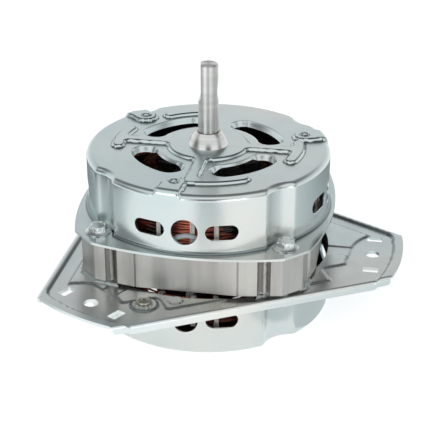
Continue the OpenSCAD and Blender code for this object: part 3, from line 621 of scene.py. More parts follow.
def turned_boss():
    """Boss over the bearing: a ring with a slightly domed cone outside, crisp at its foot on the hub and open round
    the shaft."""
    top_r, foot_r, inner_r = 6.0, 10.3, 5.75
    slope = np.radians(np.linspace(46, 66, 24))[1:]
    step = (foot_r - top_r) / np.cos(slope).sum()
    r = top_r + np.r_[0, np.cumsum(step * np.cos(slope))]
    z = -np.r_[0, np.cumsum(step * np.sin(slope))]
    z = z - z[-1] + UPPER_FACE
    cone = list(zip(r, z))
    inside = [(a - 1.2, b - 0.9) for a, b in cone[:0:-1]]
    return turned_ring([(inner_r, z[0] - 0.25)] + cone + inside + [(inner_r, z[0] - 1.2)], 120)


def stake_pins():
    """Riveted pin in the hole of each rim pad, its flange under the sheet: rows of radius and depth."""
    top = UPPER_FACE - FACE_DROP + PAD_RISE + 0.3
    rows = ((0.01, 2.7), (2.6, 2.7), (2.6, 1.65), (1.25, 1.6), (1.2, 0.25), (1.0, 0.05), (0.5, 0.05), (0.4, 0.3),
            (0.01, 0.35))
    return [revolve([(r, top - deep) for r, deep in rows], 36, (PIN_R * math.cos(a), PIN_R * math.sin(a)))
            for a in PADS]


def lower_cover_skin():
    """Lower cover, drawn upside down: closed dome over the bearing, recessed floor, rim, wall and flange."""
    z_foot = SHEET - LOWER_TALL
    dome = [(DOME_R * math.sin(a), DOME_R * math.cos(a) - RECESS - DOME_SUNK, 0.0)
            for a in np.radians(np.linspace(8, 62, 8))]
    corners = [(0.4, -0.3, 0.0), *dome, (10.25, -RECESS, 1.2), (RECESS_R, -RECESS, 1.5), (RECESS_R, 0.0, 1.5),
               (LOWER_CAN, 0.0, 2.6), (LOWER_CAN, z_foot, FOOT_BEND), (FLANGE_LINE, z_foot, 0.0)]
    s, _, _, marks = rounded_profile(corners)
    dome_end, floor, lip, rim, foot = marks[len(dome):]
    rows = spaced(0, [(dome_end[0], 10), (dome_end[1], 4), (floor[0], 34), (floor[1], 4), (lip[0], 4), (lip[1], 4),
                      (rim[0], 8), (rim[1], 6), (foot[0], 16), (foot[1], 4), (s[-1], 4)])
    parts = cover_skin(LOWER_CAN, LOWER_TALL, LOWER_VENT, corners, len(dome) + 3, rows, False)
    return [lifted(part, -1, FOOT) for part in parts]


# Sizes of the bracket
SIDE_IN, WING_END, MOUNT_R, OPEN_R = 67.955, 101.5, 83.5, 61.0
TIP_BACK, TIP_MARGIN, WING_PAD, PAD_R, PAD_SHIFT = 6.5, 5.6, 98.5, 25.5, 4.5
BORDER_IN, MIDDLE_IN, FRONT_IN, POCKET_U, POCKET_V = 4.2, 10.0, 7.5, 48.0, 42.0
SEAT_CORNER, SEAT_FROM, SEAT_CLEAR = 69.5, 32.0, 3.4
CHANNEL_FROM, CHANNEL_HALF, CHANNEL_SHARE = 40.0, 5.0, 0.6
BOLT_HOLE, MOUNT_HOLE, SLOT_OFF, SLOT_X, SLOT_Y = 2.8, 3.5, 16.4, 3.75, 2.35
LIP_BEND, LIP_DEEP, LIP_CORNER = 1.7, 4.3, 1.4
EMBOSS, BRACKET_GRID = 1.5, 0.74
BORDER_RISE, MIDDLE_RISE, EARTH_RISE, MARK_RISE = 1.2, 0.7, 0.8, 1.3
EARTH, EARTH_R = (-17.0, -70.0), 7.0
MARK, MARK_R = (-3.5, -64.5), 4.8
FRONT = -TURN / 6
BRACKET_SIDES = [math.radians(a) for a in (60, 180, 300)]
BRACKET_WINGS = [math.radians(a) for a in (0, 120, 240)]


# Bracket
def side_distances(x, y):
    """Distances inside the three long sides, the front one last."""
    return [SIDE_IN - turned(x, y, a)[0] for a in BRACKET_SIDES]


def raised_middle(x, y):
    """Raised middle of the bracket: in from the long sides, round the low wing ends and the two front pockets."""
    a = side_distances(x, y)
    d = np.maximum(MIDDLE_IN - np.minimum(a[0], a[1]), FRONT_IN - a[2])
    for wing in BRACKET_WINGS:
        u, v = turned(x, y, wing)
        d = np.maximum(d, PAD_R - np.hypot(u - WING_PAD + PAD_SHIFT * smooth(-v / 15), v))
    u, v = turned(x, y, FRONT)
    pocket = -soft_min(u - POCKET_U, np.abs(v) - POCKET_V, 5.0)
    return -soft_min(-d, pocket, 2.0)


def inside_tips(x, y):
    """Distance inside the wings' round ends: one circle about the axis, and one set back for the front wings."""
    set_back = np.hypot(x + TIP_BACK * math.cos(FRONT), y + TIP_BACK * math.sin(FRONT))
    return WING_END - np.maximum(np.hypot(x, y), set_back)


def raised_borders(x, y):
    """Raised border along the two back sides and round the wings' ends, with a rounded inner corner between them."""
    a = side_distances(x, y)
    return soft_min(np.minimum(a[0], a[1]) - BORDER_IN, inside_tips(x, y) - TIP_MARGIN, 3.0)


def corner_seats(x, y):
    """Raised seats under the stack's four corners: cut across the corner and along two slants, clear of the lips."""
    ax, ay = np.abs(x), np.abs(y)
    slant = lambda u, v: (v - 57.3) * 0.9818 + (u - 24.4) * 0.19
    core = np.maximum.reduce([(ax + ay) / math.sqrt(2) - SEAT_CORNER, slant(ax, ay), slant(ay, ax)])
    near_lip = SEAT_CLEAR - np.minimum.reduce(side_distances(x, y))
    return np.maximum.reduce([core - EMBOSS, SEAT_FROM - ax, SEAT_FROM - ay, near_lip])


def earth_boss(x, y):
    return disc(x - EARTH[0], y - EARTH[1], EARTH_R)


def mark_boss(x, y):
    return disc(x - MARK[0], y - MARK[1], MARK_R)


def channels(x, y):
    """Shallow channel along the middle of each wing, from the stack out to the wing's low end."""
    d = np.full_like(x, FAR)
    for a in BRACKET_WINGS:
        u, v = turned(x, y, a)
        d = np.where(u > CHANNEL_FROM, np.abs(v) - CHANNEL_HALF, d)
    return d


def bracket_height(x, y):
    """Height of the pressed form above the wing ends: the highest of its raised fields."""
    up = lambda field: smooth(-field(x, y) / EMBOSS)
    return np.maximum.reduce([MIDDLE_RISE * up(raised_middle) * (1 - CHANNEL_SHARE * up(channels)),
                              BORDER_RISE * up(raised_borders), STACK_LOW * up(corner_seats),
                              EARTH_RISE * up(earth_boss), MARK_RISE * up(mark_boss)])


def unrolled(x, y):
    """Folds the margins past the long sides down into lips. Gives the new x and y, the drop, and the distance of
    the flat point inside the nearest side."""
    a = np.stack(side_distances(x, y))
    near, ang = a.min(0), np.array(BRACKET_SIDES)[a.argmin(0)]
    new, drop = fold(near, LIP_BEND)
    return x + np.cos(ang) * (near - new), y + np.sin(ang) * (near - new), drop, near


def bracket_holes(x, y):
    """Opening for the motor, four bolt holes, and on each wing a mounting hole between two slots."""
    d = [disc(x, y, OPEN_R)] + [disc(x - bx, y - by, BOLT_HOLE) for bx, by in BOLTS]
    for a in BRACKET_WINGS:
        u, v = turned(x, y, a)
        d += [disc(u - MOUNT_R, v, MOUNT_HOLE), block(u - MOUNT_R, np.abs(v) - SLOT_OFF, SLOT_X, SLOT_Y)]
    return np.minimum.reduce(d)


def bracket_skin():
    """Pressed bracket as one sheet over a flat grid: x, y to the height of its pressed form, with the margins
    rolled down into lips along the three long sides, and the wings cut to a circle."""
    flat_lip = LIP_BEND * math.pi / 2 + LIP_DEEP - 2 * LIP_BEND

    def inside(q):
        x, y, _, near = unrolled(q[:, 0], q[:, 1])
        short = [np.maximum(LIP_CORNER - f, 0) for f in (near + flat_lip, inside_tips(x, y))]
        return LIP_CORNER - np.hypot(*short)

    def on(field):
        return lambda q: field(q[:, 0], q[:, 1])

    def near_side(q):
        return np.minimum.reduce(side_distances(q[:, 0], q[:, 1]))

    def place(q):
        x, y, drop, _ = unrolled(q[:, 0], q[:, 1])
        return np.stack([x, y, bracket_height(x, y) - drop], 1)

    xs, ys = np.arange(-77.0, 103.0, BRACKET_GRID), np.arange(-103.0, 105.0, BRACKET_GRID)
    q = np.stack([g.ravel() for g in np.meshgrid(xs, ys)], 1)
    tris = grid_triangles(len(ys), len(xs), False)
    mean = q[tris].mean(1)
    tris = tris[(inside(mean) > -2.0) & (np.hypot(mean[:, 0], mean[:, 1]) > OPEN_R - 3)]
    edges = np.unique(np.sort(edges_of(tris), 1), axis=0)
    held = np.zeros(len(q), bool)
    lines = [(on(bracket_holes), 0.0), (inside, 0.0), (near_side, LIP_BEND),
             (near_side, LIP_BEND - LIP_BEND * math.pi / 2)]
    pressings = (raised_borders, earth_boss, mark_boss, corner_seats, raised_middle, channels)
    for field, level in lines + [(on(form), -EMBOSS / 2) for form in pressings]:
        snap(q, edges, field, level, held, False)
    mean = q[tris].mean(1)
    tris = tris[(inside(mean) > 0) & (bracket_holes(mean[:, 0], mean[:, 1]) > 0)]
    points = place(q)
    if face_normals(points, tris)[:, 2].sum() < 0:
        tris = tris[:, ::-1]
    normals = skin_normals(place, q, (0.05, 0.05), tris)
    # Painted shade along the bracket's pressed walls, darker the steeper, but none on the lips.
    pressed = np.where(near_side(q) > LIP_BEND + 0.3, np.clip(1.3 * steepness(normals), 0, 1), 0)
    points, tris, *rest = thicken(points, tris, PLATE, normals, pressed)
    return points, outward(points, tris), *rest


# Shaft
def shaft_form():
    """Turned shaft: radius along z with shoulder, ring groove and chamfer, cut near its top by a flat that slopes out
    at its foot and, across from it, by a shallow relief."""
    radius, groove, shoulder = 5.0, 4.65, 6.5
    low, shoulder_low, shoulder_high, top = FOOT + 5.5, FOOT + 19.4, 42.1, 95.0
    ring_low, ring_high, ease = 61.2, 62.2, 0.05
    flat_from, flat_deep, flat_way, relief_deep, tail_deep = top - 17.0, 1.3, 190.5, 0.6, 0.12
    rows = [(low, 4.4), (low + 0.6, radius), (shoulder_low, radius), (shoulder_low, shoulder),
            (shoulder_high, shoulder), (shoulder_high, radius), (ring_low, radius), (ring_low + ease, groove),
            (ring_high - ease, groove), (ring_high, radius)]
    rows += [(z, radius) for z in np.linspace(flat_from - 3, top - 0.8, 40)]
    rows += [(top - 0.35, 4.7), (top, 4.15), (top, 2.0)]
    z, r = np.array(rows).T[:, :, None]
    th = np.arange(120) * TURN / 120
    facing = lambda degrees: np.maximum(np.cos(th - math.radians(degrees)), 0.02)
    flat = radius - flat_deep * np.clip((z - flat_from + 2.2) / 2.6, 0, 1)
    relief = relief_deep * smooth((z - flat_from + 1.5) / 3.0) * smooth((flat_from + 9.0 - z) / 5.0)
    relief = radius - relief - tail_deep * smooth((z - flat_from - 4.0) / 5.0)
    r = np.minimum(np.minimum(r, flat / facing(flat_way)), relief / facing(flat_way - 180))
    return closed_rings(round_about(r, z, th))


# Fasteners
def flanged_bolt(x, y):
    """Bolt with a flanged hexagon head: rows of (r, z) from the thread's end up to the dished top."""
    seat, low, pitch = STACK_TOP + SHEET, -6.5, 0.4
    start = low + 0.6
    rows = [(0.01, low), (1.9, low), (2.4, start)]
    for k in range(int(-start / pitch)):
        rows += [(2.5, start + pitch * k + 0.1), (2.15, start + pitch * k + 0.3)]
    head = ((6.0, 0.0), (6.2, 0.15), (6.2, 0.5), (5.8, 0.75), (4.75, 1.15, 9.2), (4.7, 1.3, 8), (4.7, 3.3, 8),
            (4.0, 3.8, 8), (3.4, 3.8), (2.9, 3.4), (0.01, 3.3))
    rows += [(2.5, 0.2), (2.5, seat)] + [(r, seat + up, *flats) for r, up, *flats in head]
    return revolve(rows, 72, (x, y))


def bolt_nut(x, y):
    """Hexagon nut, chamfered on both sides, with a countersunk thread."""
    top = PLATE_LOW - SHEET - 1.3
    low = top - 2.3
    rows = [(0.01, low + 0.6), (2.6, low + 0.6), (2.9, low), (3.9, low, 8), (4.62, low + 0.45, 8),
            (4.62, top - 0.45, 8), (3.9, top, 8), (2.6, top), (0.01, top - 0.3)]
    return revolve(rows, 72, (x, y))


def spring_washer(x, y):
    """Split spring washer: a section swept once round, its ends apart in height."""
    a = np.linspace(0.06, TURN - 0.06, 60)[:, None]
    r, z = np.array([(2.65, -1.15), (3.9, -1.15), (4.0, -0.65), (3.9, -0.2), (2.65, -0.2)]).T
    rise = (a / TURN - 0.5) * 0.15
    return closed_rings(round_about(r, PLATE_LOW - SHEET + z + rise, a, (x, y)))


def earth_screw_form():
    """Pan head with a cross recess, and its thread below the bracket."""
    seat, low = EARTH_RISE + 0.8, EARTH_RISE - 7.0
    rows = [(0.01, low), (1.5, low), (1.9, low + 0.5)]
    for k in range(11):
        rows += [(2.0, low + 0.6 + 0.5 * k), (1.7, low + 0.85 + 0.5 * k)]
    rows += [(2.0, seat - 0.05), (2.0, seat), (3.1, seat), (3.3, seat + 0.25), (3.25, seat + 0.8), (3.0, seat + 1.15)]
    rows += [(r, seat + 1.15 + 0.35 * (1 - (r / 3.0) ** 2)) for r in np.linspace(2.8, 0.01, 12)]
    rows = np.array(rows)
    fine = [a + (b - a) * t for a, b in zip(rows[:-1], rows[1:])
            for t in np.linspace(0, 1, 4 if a[1] > seat + 0.2 else 1, endpoint=False)]
    points, faces = revolve(fine + [rows[-1]], 96, EARTH)
    u, v = np.abs(turned(points[:, 0] - EARTH[0], points[:, 1] - EARTH[1], TURN / 8))
    arm = np.minimum(np.maximum(u - 1.8, v - 0.42), np.maximum(v - 1.8, u - 0.42))
    points[:, 2] -= np.where(points[:, 2] > seat + 1.1, 0.9 * smooth(0.4 - arm / 0.3), 0)
    return points, faces


def earth_washer_form():
    """Toothed washer: its rim waves in and out round the screw."""
    th = np.arange(96) * TURN / 96
    r, z = np.array([(2.15, 0.0), (3.8, 0.0), (3.8, 0.8), (2.15, 0.8)]).T[:, :, None]
    teeth = 0.28 * spow(np.sin(12 * th), 0.5) * (r > 3)
    return closed_rings(round_about(r + teeth, EARTH_RISE + z, th, EARTH), joined=True)


# Sizes of the windings
MAIN, AUX = (43.7, 3.0, SIDES), (35.95, 0.0, CORNERS)
COIL_HALF, COIL_HALF_MORE, COIL_UP, COIL_UP_MORE, SQUARED = 22.5, 15.0, 18.0, 7.0, 0.3
LEAN_FROM, LEAN_OVER = 17.0, 8.0
BUNDLE_R, CORD_R = 2.75, 0.42
BAND_R, BAND_WIRE, BAND_STEP, LAYER_STEP = 52.95, 0.53, 1.25, 0.95
UPPER_BAND, LOWER_BAND = (25.5, 43.2), (-17.0, -4.0)
TIE_ANGLES = np.radians([-87.0, -75.5, -104.0, -41.0, -8.0, 4.5, 17.0, 49.0, 83.0, 97.0, 138.0, 164.0, 178.0, 193.0,
                         228.0])


# Windings
def coil_line(leg, flare):
    """Middle line of one coil: an inner squared oval that runs over into an outer one below the stack, laid on the
    cylinder of its slots, with its end turns leaning out past the straight legs."""
    deg = np.arange(-60, 600.5, 1.0)
    tau = np.radians(deg)
    t = smooth((deg - 200) / 130)
    a = np.radians(COIL_HALF + COIL_HALF_MORE * t) * spow(np.cos(tau), SQUARED)
    z = (COIL_UP + COIL_UP_MORE * t) * spow(np.sin(tau), SQUARED)
    r = leg + flare * np.maximum(0, np.abs(z) - LEAN_FROM) / LEAN_OVER
    return round_about(r, z + STACK_MID, a)


def even_line(line, gap):
    """The same line with its points set at even lengths, so that no stretch of wire is long or crowded."""
    s = lengths_along(line)
    at = np.linspace(0, s[-1], int(s[-1] / gap))
    return np.stack([np.interp(at, s, line[:, k]) for k in range(3)], 1), at


def wound_coils(leg, flare, turns):
    """A bundle of enamelled wires along each coil's middle line: each wire keeps its place round the line and twists
    slowly along it."""
    line, at = even_line(coil_line(leg, flare), 2.2)
    tangent = unit(np.gradient(line, axis=0))
    out = unit(line * np.array([1, 1, 0]))
    e = unit(out - (out * tangent).sum(1, keepdims=True) * tangent)
    f = np.cross(tangent, e)
    wires = []
    for count, radius, thick, start in ((9, 1.56, 0.53, 0.0), (4, 0.6, 0.45, 0.4)):
        for k in range(count):
            a = k * TURN / count + start + at * 0.012 + 0.18 * np.sin(at * 0.11 + 2.1 * k)
            rho = radius * (1 - 0.05 * np.cos(at * 0.17 + 1.7 * k))
            path = line + e * (rho * np.cos(a))[:, None] + f * (rho * np.sin(a))[:, None]
            wires.append(tube(path, thick))
    return [spun(wire, turn) for turn in turns for wire in wires]


def cord_loops(mid, half, squared, offsets, sway, shift=0):
    """Cord loops side by side on a rounded rectangle: its middle and half sizes along r and z, and the powers that
    square it. Each loop sways a little to the side along its way."""
    c = np.linspace(0, TURN, 40 if len(offsets) > 3 else 36, endpoint=False)
    loops = []
    for k, off in enumerate(offsets):
        r = mid[0] + half[0] * spow(np.cos(c), squared[0])
        z = mid[1] + half[1] * spow(np.sin(c), squared[1])
        path = np.stack([r, off + sway * np.sin(2 * c + k + shift), z], 1)
        loops.append(tube(path, CORD_R, closed=True))
    return loops


def tie_loops(leg, flare, turns):
    """Lacing round the upper and the lower end turns of each coil."""
    inner, outer = leg + flare * (COIL_UP - LEAN_FROM) / LEAN_OVER - BUNDLE_R, leg + flare + BUNDLE_R
    low, high = COIL_UP - BUNDLE_R, COIL_UP + COIL_UP_MORE + BUNDLE_R
    loops = []
    for side in (1, -1):
        mid = (inner + outer) / 2, STACK_MID + side * (low + high) / 2
        half = (outer - inner) / 2, side * (high - low) / 2
        loops += cord_loops(mid, half, (0.45, 0.45), (-1.2, -0.4, 0.4, 1.2), 0.12)
    return [spun(loop, turn) for turn in turns for loop in loops]


def band_wires(z_low, z_high):
    """Outer layers of the end turns, wires that run round the stator outside the coils: each wire waves slightly in
    radius and height along its way round."""
    a = np.arange(150) * TURN / 150
    wires = []
    rows = int((z_high - z_low) / BAND_STEP) + 1
    for layer in range(2):
        for k in range(rows - layer):
            phase = 2.399 * k + 1.3 * layer
            r = BAND_R + LAYER_STEP * layer + 0.16 * np.sin(3 * a + phase) + 0.1 * np.sin(7 * a + 2 * phase)
            z = z_low + (k + 0.5 * layer) * BAND_STEP
            z = z + 0.7 * np.sin(5 * a + phase) + 0.4 * np.sin(9 * a + 3 * phase)
            wires.append(tube(round_about(r, z, a), BAND_WIRE, closed=True))
    return wires


def band_film(z_low, z_high):
    """Thin ring of varnished film behind the outer layers."""
    inner, outer = BAND_R - 0.75, BAND_R - 0.5
    return turned_ring([(inner, z_low), (outer, z_low), (outer, z_high), (inner, z_high)], 120)


def band_ties(z_low, z_high):
    """Cord tied round the outer layers, three loops at each place."""
    mid, half = (BAND_R + 0.45, (z_low + z_high) / 2), (1.75, (z_high - z_low) / 2 + 1.3)
    return [spun(loop, angle) for n, angle in enumerate(TIE_ANGLES)
            for loop in cord_loops(mid, half, (0.5, 0.3), (-0.75, 0.0, 0.75), 0.1, n)]


def lead_sleeve():
    """Short sleeve over a joint of the windings, bowed along the end turns behind the front vent."""
    t = np.linspace(0, 1, 30)
    a = math.radians(-98.0) + t * 13.5 / 55.0
    r = 56.2 + 0.3 * np.sin(t * math.pi)
    z = 27.0 + 4.0 * np.sin(t * math.pi * 0.8)
    return tube(round_about(r, z, a), 1.25, 12)


# Stack details
def weld_bead(x, y):
    """Bead of weld down a groove of the stack: a bar whose radius ripples along its length."""
    z = np.linspace(STACK_LOW + 0.3, STACK_TOP - 0.3, 60)
    r = 0.95 + 0.06 * np.sin(z * 5.2) * np.sin(z * 0.9 + x)
    r[0] = r[-1] = 0.5
    return tube(np.stack([x + 0.08 * np.sin(z * 1.7), y + 0 * z, z], 1), r, 10, first=(1.0, 0.0, 0.0))


# Materials
def node(tree, kind, values=(), links=(), **settings):
    """New shader node with its settings, values on its sockets, and outputs linked to them."""
    new = tree.nodes.new("ShaderNode" + kind)
    for name, value in settings.items():
        setattr(new, name, value)
    for socket, value in dict(values).items():
        new.inputs[socket].default_value = value
    for socket, source in dict(links).items():
        tree.links.new(source, new.inputs[socket])
    return new


def material(name, **values):
    """New material with its shader's values: the material, its tree, its shader and its own coordinates."""
    m = bpy.data.materials.new(name)
    m.use_nodes = True
    tree = m.node_tree
    shader = tree.nodes["Principled BSDF"]
    for socket, value in values.items():
        shader.inputs[socket.replace("_", " ")].default_value = value
    return m, tree, shader, node(tree, "TexCoord").outputs["Object"]


def noise(tree, place, scale, stretch=(1, 1, 1), detail=3.0, rough=0.5):
    """Noise over the piece's own coordinates, stretched along its axes; scale is in lumps for each metre."""
    mapping = node(tree, "Mapping", {"Scale": stretch}, {"Vector": place})
    return node(tree, "TexNoise", {"Scale": scale, "Detail": detail, "Roughness": rough},
                {"Vector": mapping.outputs["Vector"]}).outputs["Fac"]


def ramp(tree, value, stops):
    new = node(tree, "ValToRGB", links={"Fac": value})
    elements = new.color_ramp.elements
    while len(elements) < len(stops):
        elements.new(0.5)
    for element, (at, colour) in zip(elements, stops):
        element.position = at
        element.color = (*colour, 1)
    return new.outputs["Color"]


def spread(tree, value, low, high, a=0.3, b=0.7):
    """The value's range from a to b, spread from low to high."""
    return node(tree, "MapRange", {"From Min": a, "From Max": b, "To Min": low, "To Max": high},
                {"Value": value}).outputs["Result"]


def surface(name, tones, scale, metallic, rough, at=(0.3, 0.7), stretch=(1, 1, 1), fine=None, bump=0.0, coat=0.0,
            pressed=None, shade_by_tilt=()):
    """Procedural finish: colour from a noise through a ramp, roughness and fine relief from a second noise, and on
    sheets a painted shade along the pressed walls, its share read from their tilt."""
    m, tree, shader, place = material(name, Metallic=metallic)
    colour = ramp(tree, noise(tree, place, scale, stretch), list(zip(at, tones)))
    # Painted shade: the pressed colour is mixed in where the pressed walls tilt.
    if pressed is not None:
        line = node(tree, "Attribute", attribute_name="pressed").outputs["Fac"]
        share = ramp(tree, line, [(tilt, (v, v, v)) for tilt, v in shade_by_tilt])
        colour = node(tree, "Mix", {"B": (*pressed, 1)}, {"Factor": share, "A": colour},
                      data_type="RGBA").outputs["Result"]
    tree.links.new(colour, shader.inputs["Base Color"])
    fine_scale, fine_stretch = fine if fine else (scale * 6, stretch)
    small = noise(tree, place, fine_scale, fine_stretch, 4.0, 0.6)
    tree.links.new(spread(tree, small, *rough), shader.inputs["Roughness"])
    if bump:
        dents = node(tree, "Bump", {"Strength": bump, "Distance": 0.0002}, {"Height": small})
        tree.links.new(dents.outputs["Normal"], shader.inputs["Normal"])
    if coat:
        shader.inputs["Coat Weight"].default_value = coat
        shader.inputs["Coat Roughness"].default_value = 0.15
    return m


def ground_round(finish, strength):
    """Grinding marks round the axis: they spread reflections along the shaft and keep them narrow across it."""
    tree = finish.node_tree
    shader = tree.nodes["Principled BSDF"]
    marks = node(tree, "Tangent", direction_type="RADIAL", axis="Z")
    tree.links.new(marks.outputs["Tangent"], shader.inputs["Tangent"])
    shader.inputs["Anisotropic"].default_value = strength
    shader.inputs["Anisotropic Rotation"].default_value = 0.25


# Share of painted shade on the pressed walls by their tilt, for the covers and for the bracket.
COVER_SHADE_BY_TILT = [(0.05, 0.0), (0.22, 0.8), (0.5, 0.8), (0.75, 0.12), (0.9, 0.0)]
BRACKET_SHADE_BY_TILT = [(0.08, 0.0), (0.5, 0.7), (1.0, 0.85)]
ZINC_AT, METAL_AT, EVEN = (0.35, 0.5, 0.65), (0.35, 0.65), (1, 1, 1)
LAYERS = (220, (0.5, 0.5, 9))

# The upper cover's pressed colour is the painted shade along its pressed walls.
ZINC = surface("blue_zinc_cover", [(0.58, 0.68, 0.70), (0.65, 0.72, 0.72), (0.70, 0.72, 0.70)], 11, 1.0, (0.2, 0.27),
               ZINC_AT, fine=(90, EVEN), pressed=(0.13, 0.165, 0.17), shade_by_tilt=COVER_SHADE_BY_TILT)
# Near-black inside faces of the covers: painted shade inside the closed covers.
INSIDE_PAINTED_SHADE = surface("cover_inside_painted_shade", [(0.07, 0.075, 0.08), (0.12, 0.125, 0.13)], 60, 0.9, (0.45, 0.6))
LOWER_ZINC = surface("blue_zinc_lower", [(0.50, 0.61, 0.64), (0.60, 0.65, 0.65), (0.66, 0.67, 0.64)], 10, 1.0,
                     (0.17, 0.23), ZINC_AT, fine=(90, EVEN))
# The bracket's pressed colour is the painted shade along its pressed walls.
BRACKET_ZINC = surface("bracket_zinc", [(0.69, 0.78, 0.80), (0.75, 0.80, 0.80), (0.77, 0.78, 0.74)], 9, 1.0,
                       (0.26, 0.34), ZINC_AT, fine=(120, EVEN), bump=0.01, pressed=(0.2, 0.235, 0.235),
                       shade_by_tilt=BRACKET_SHADE_BY_TILT)
BOSS_STEEL = surface("turned_boss_steel", [(0.66, 0.66, 0.65), (0.76, 0.76, 0.75)], 60, 1.0, (0.16, 0.24), METAL_AT,
                     stretch=(1, 1, 12), fine=(120, (1, 1, 12)), bump=0.04)
STACK_STEEL = surface("stack_laminations", [(0.39, 0.38, 0.36), (0.49, 0.48, 0.46), (0.59, 0.58, 0.55)], 110, 0.9,
                      (0.36, 0.46), (0.3, 0.5, 0.7), stretch=(1, 1, 0.12), fine=LAYERS, bump=0.06)
# Rotor laminations drawn near black: painted shade inside the covers.
ROTOR_STEEL_PAINTED_SHADE = surface("rotor_laminations_painted_shade", [(0.10, 0.10, 0.10), (0.17, 0.17, 0.16)], 120, 0.8, (0.45, 0.6),
                      fine=LAYERS, bump=0.1)
WELD_STEEL = surface("weld_bead", [(0.34, 0.33, 0.32), (0.46, 0.45, 0.43)], 300, 0.9, (0.4, 0.55), (0.35, 0.6))
SHAFT_STEEL = surface("ground_shaft", [(0.60, 0.60, 0.585), (0.69, 0.69, 0.675)], 40, 1.0, (0.27, 0.34), METAL_AT,
                      stretch=(1, 1, 8), fine=(60, (1, 1, 60)), bump=0.03)
ground_round(SHAFT_STEEL, 0.95)
FASTENER = surface("fastener_zinc", [(0.66, 0.70, 0.71), (0.76, 0.78, 0.77)], 120, 1.0, (0.2, 0.3), METAL_AT, bump=0.04)
EARTH_STEEL = surface("earth_fastener", [(0.42, 0.42, 0.37), (0.52, 0.51, 0.45)], 150, 1.0, (0.3, 0.42), METAL_AT,
                      bump=0.04)
COPPER = surface("enamelled_copper", [(0.008, 0.004, 0.003), (0.26, 0.05, 0.03), (0.72, 0.19, 0.11)], 40, 0.35,
                 (0.28, 0.4), (0.44, 0.52, 0.6), coat=0.3)
RED_COPPER = surface("enamelled_copper_red", [(0.42, 0.08, 0.045), (0.62, 0.15, 0.09)], 90, 0.35, (0.28, 0.4))
# Darker copy of the copper for the inner coils and the lower end turns: painted shade inside the covers.
COPPER_PAINTED_SHADE = surface("enamelled_copper_painted_shade", [(0.12, 0.03, 0.018), (0.20, 0.055, 0.03)], 90, 0.4, (0.35, 0.5),
                       (0.3, 0.6))
LACING = surface("lacing_cord", [(0.66, 0.64, 0.58), (0.84, 0.82, 0.77)], 600, 0.0, (0.7, 0.9), bump=0.3)
# Dark brown copy of the lacing for the inner coils: painted shade inside the cover.
LACING_PAINTED_SHADE = surface("lacing_painted_shade", [(0.11, 0.08, 0.05), (0.18, 0.13, 0.08)], 600, 0.0, (0.5, 0.7), bump=0.3)
FILM = surface("varnished_film", [(0.012, 0.009, 0.008), (0.03, 0.02, 0.016)], 200, 0.0, (0.4, 0.6))
SLEEVE = surface("lead_sleeve", [(0.34, 0.36, 0.38), (0.46, 0.48, 0.50)], 300, 0.0, (0.45, 0.6))
LINER = surface("slot_liner_film", [(0.72, 0.69, 0.60), (0.82, 0.79, 0.70)], 200, 0.0, (0.4, 0.6))
WEDGE = surface("wedge_board", [(0.52, 0.44, 0.30), (0.64, 0.56, 0.40)], 250, 0.0, (0.6, 0.8), bump=0.2)
PROTECTOR = surface("protector_case", [(0.02, 0.022, 0.025), (0.045, 0.048, 0.05)], 200, 0.0, (0.4, 0.6))
# Cast cage drawn dark grey: painted shade inside the covers.
CAGE_PAINTED_SHADE = surface("cast_cage_painted_shade", [(0.13, 0.13, 0.135), (0.20, 0.20, 0.205)], 300, 0.9, (0.45, 0.6), bump=0.2)
BUSH = surface("sintered_bush", [(0.36, 0.25, 0.11), (0.48, 0.36, 0.17)], 500, 0.9, (0.4, 0.6), bump=0.2)
FELT = surface("oil_felt", [(0.52, 0.48, 0.38), (0.66, 0.62, 0.52)], 900, 0.0, (0.85, 1.0), bump=0.6)
PRESSING = surface("small_pressing", [(0.46, 0.48, 0.49), (0.58, 0.60, 0.60)], 150, 1.0, (0.3, 0.45))
FIBRE = surface("fibre_washer", [(0.07, 0.035, 0.02), (0.12, 0.06, 0.035)], 400, 0.0, (0.5, 0.7))
RUBBER = surface("grommet_rubber", [(0.012, 0.013, 0.014), (0.03, 0.031, 0.032)], 300, 0.0, (0.5, 0.7))

# Pieces
piece("upper_cover_skin", upper_cover_skin() + stake_pins(), ZINC, "frame", "cover", ["upper_cover"],
      inside=INSIDE_PAINTED_SHADE)
piece("upper_boss", [turned_boss()], BOSS_STEEL, "frame", "cover", crease=30)
piece("lower_cover_skin", lower_cover_skin(), LOWER_ZINC, "frame", "cover", ["lower_cover"], inside=INSIDE_PAINTED_SHADE)
piece("bracket_skin", [bracket_skin()], BRACKET_ZINC, "frame", "bracket", ["mounting_bracket"])
piece("shaft_turned", [shaft_form()], SHAFT_STEEL, "rotor", "shaft", ["shaft"], crease=30)
piece("bolts_with_heads", [flanged_bolt(x, y) for x, y in BOLTS], FASTENER, "frame", "fastener", ["through_bolts"],
      crease=25)
piece("nuts_chamfered", [bolt_nut(x, y) for x, y in BOLTS], FASTENER, "frame", "fastener", ["bolt_nuts"], crease=25)
piece("split_washers", [spring_washer(x, y) for x, y in BOLTS], FASTENER, "frame", "fastener", ["spring_washers"])
piece("earth_screw_head", [earth_screw_form()], EARTH_STEEL, "frame", "earth", ["earth_screw"])
piece("earth_washer_toothed", [earth_washer_form()], EARTH_STEEL, "frame", "earth", ["earth_washer"])
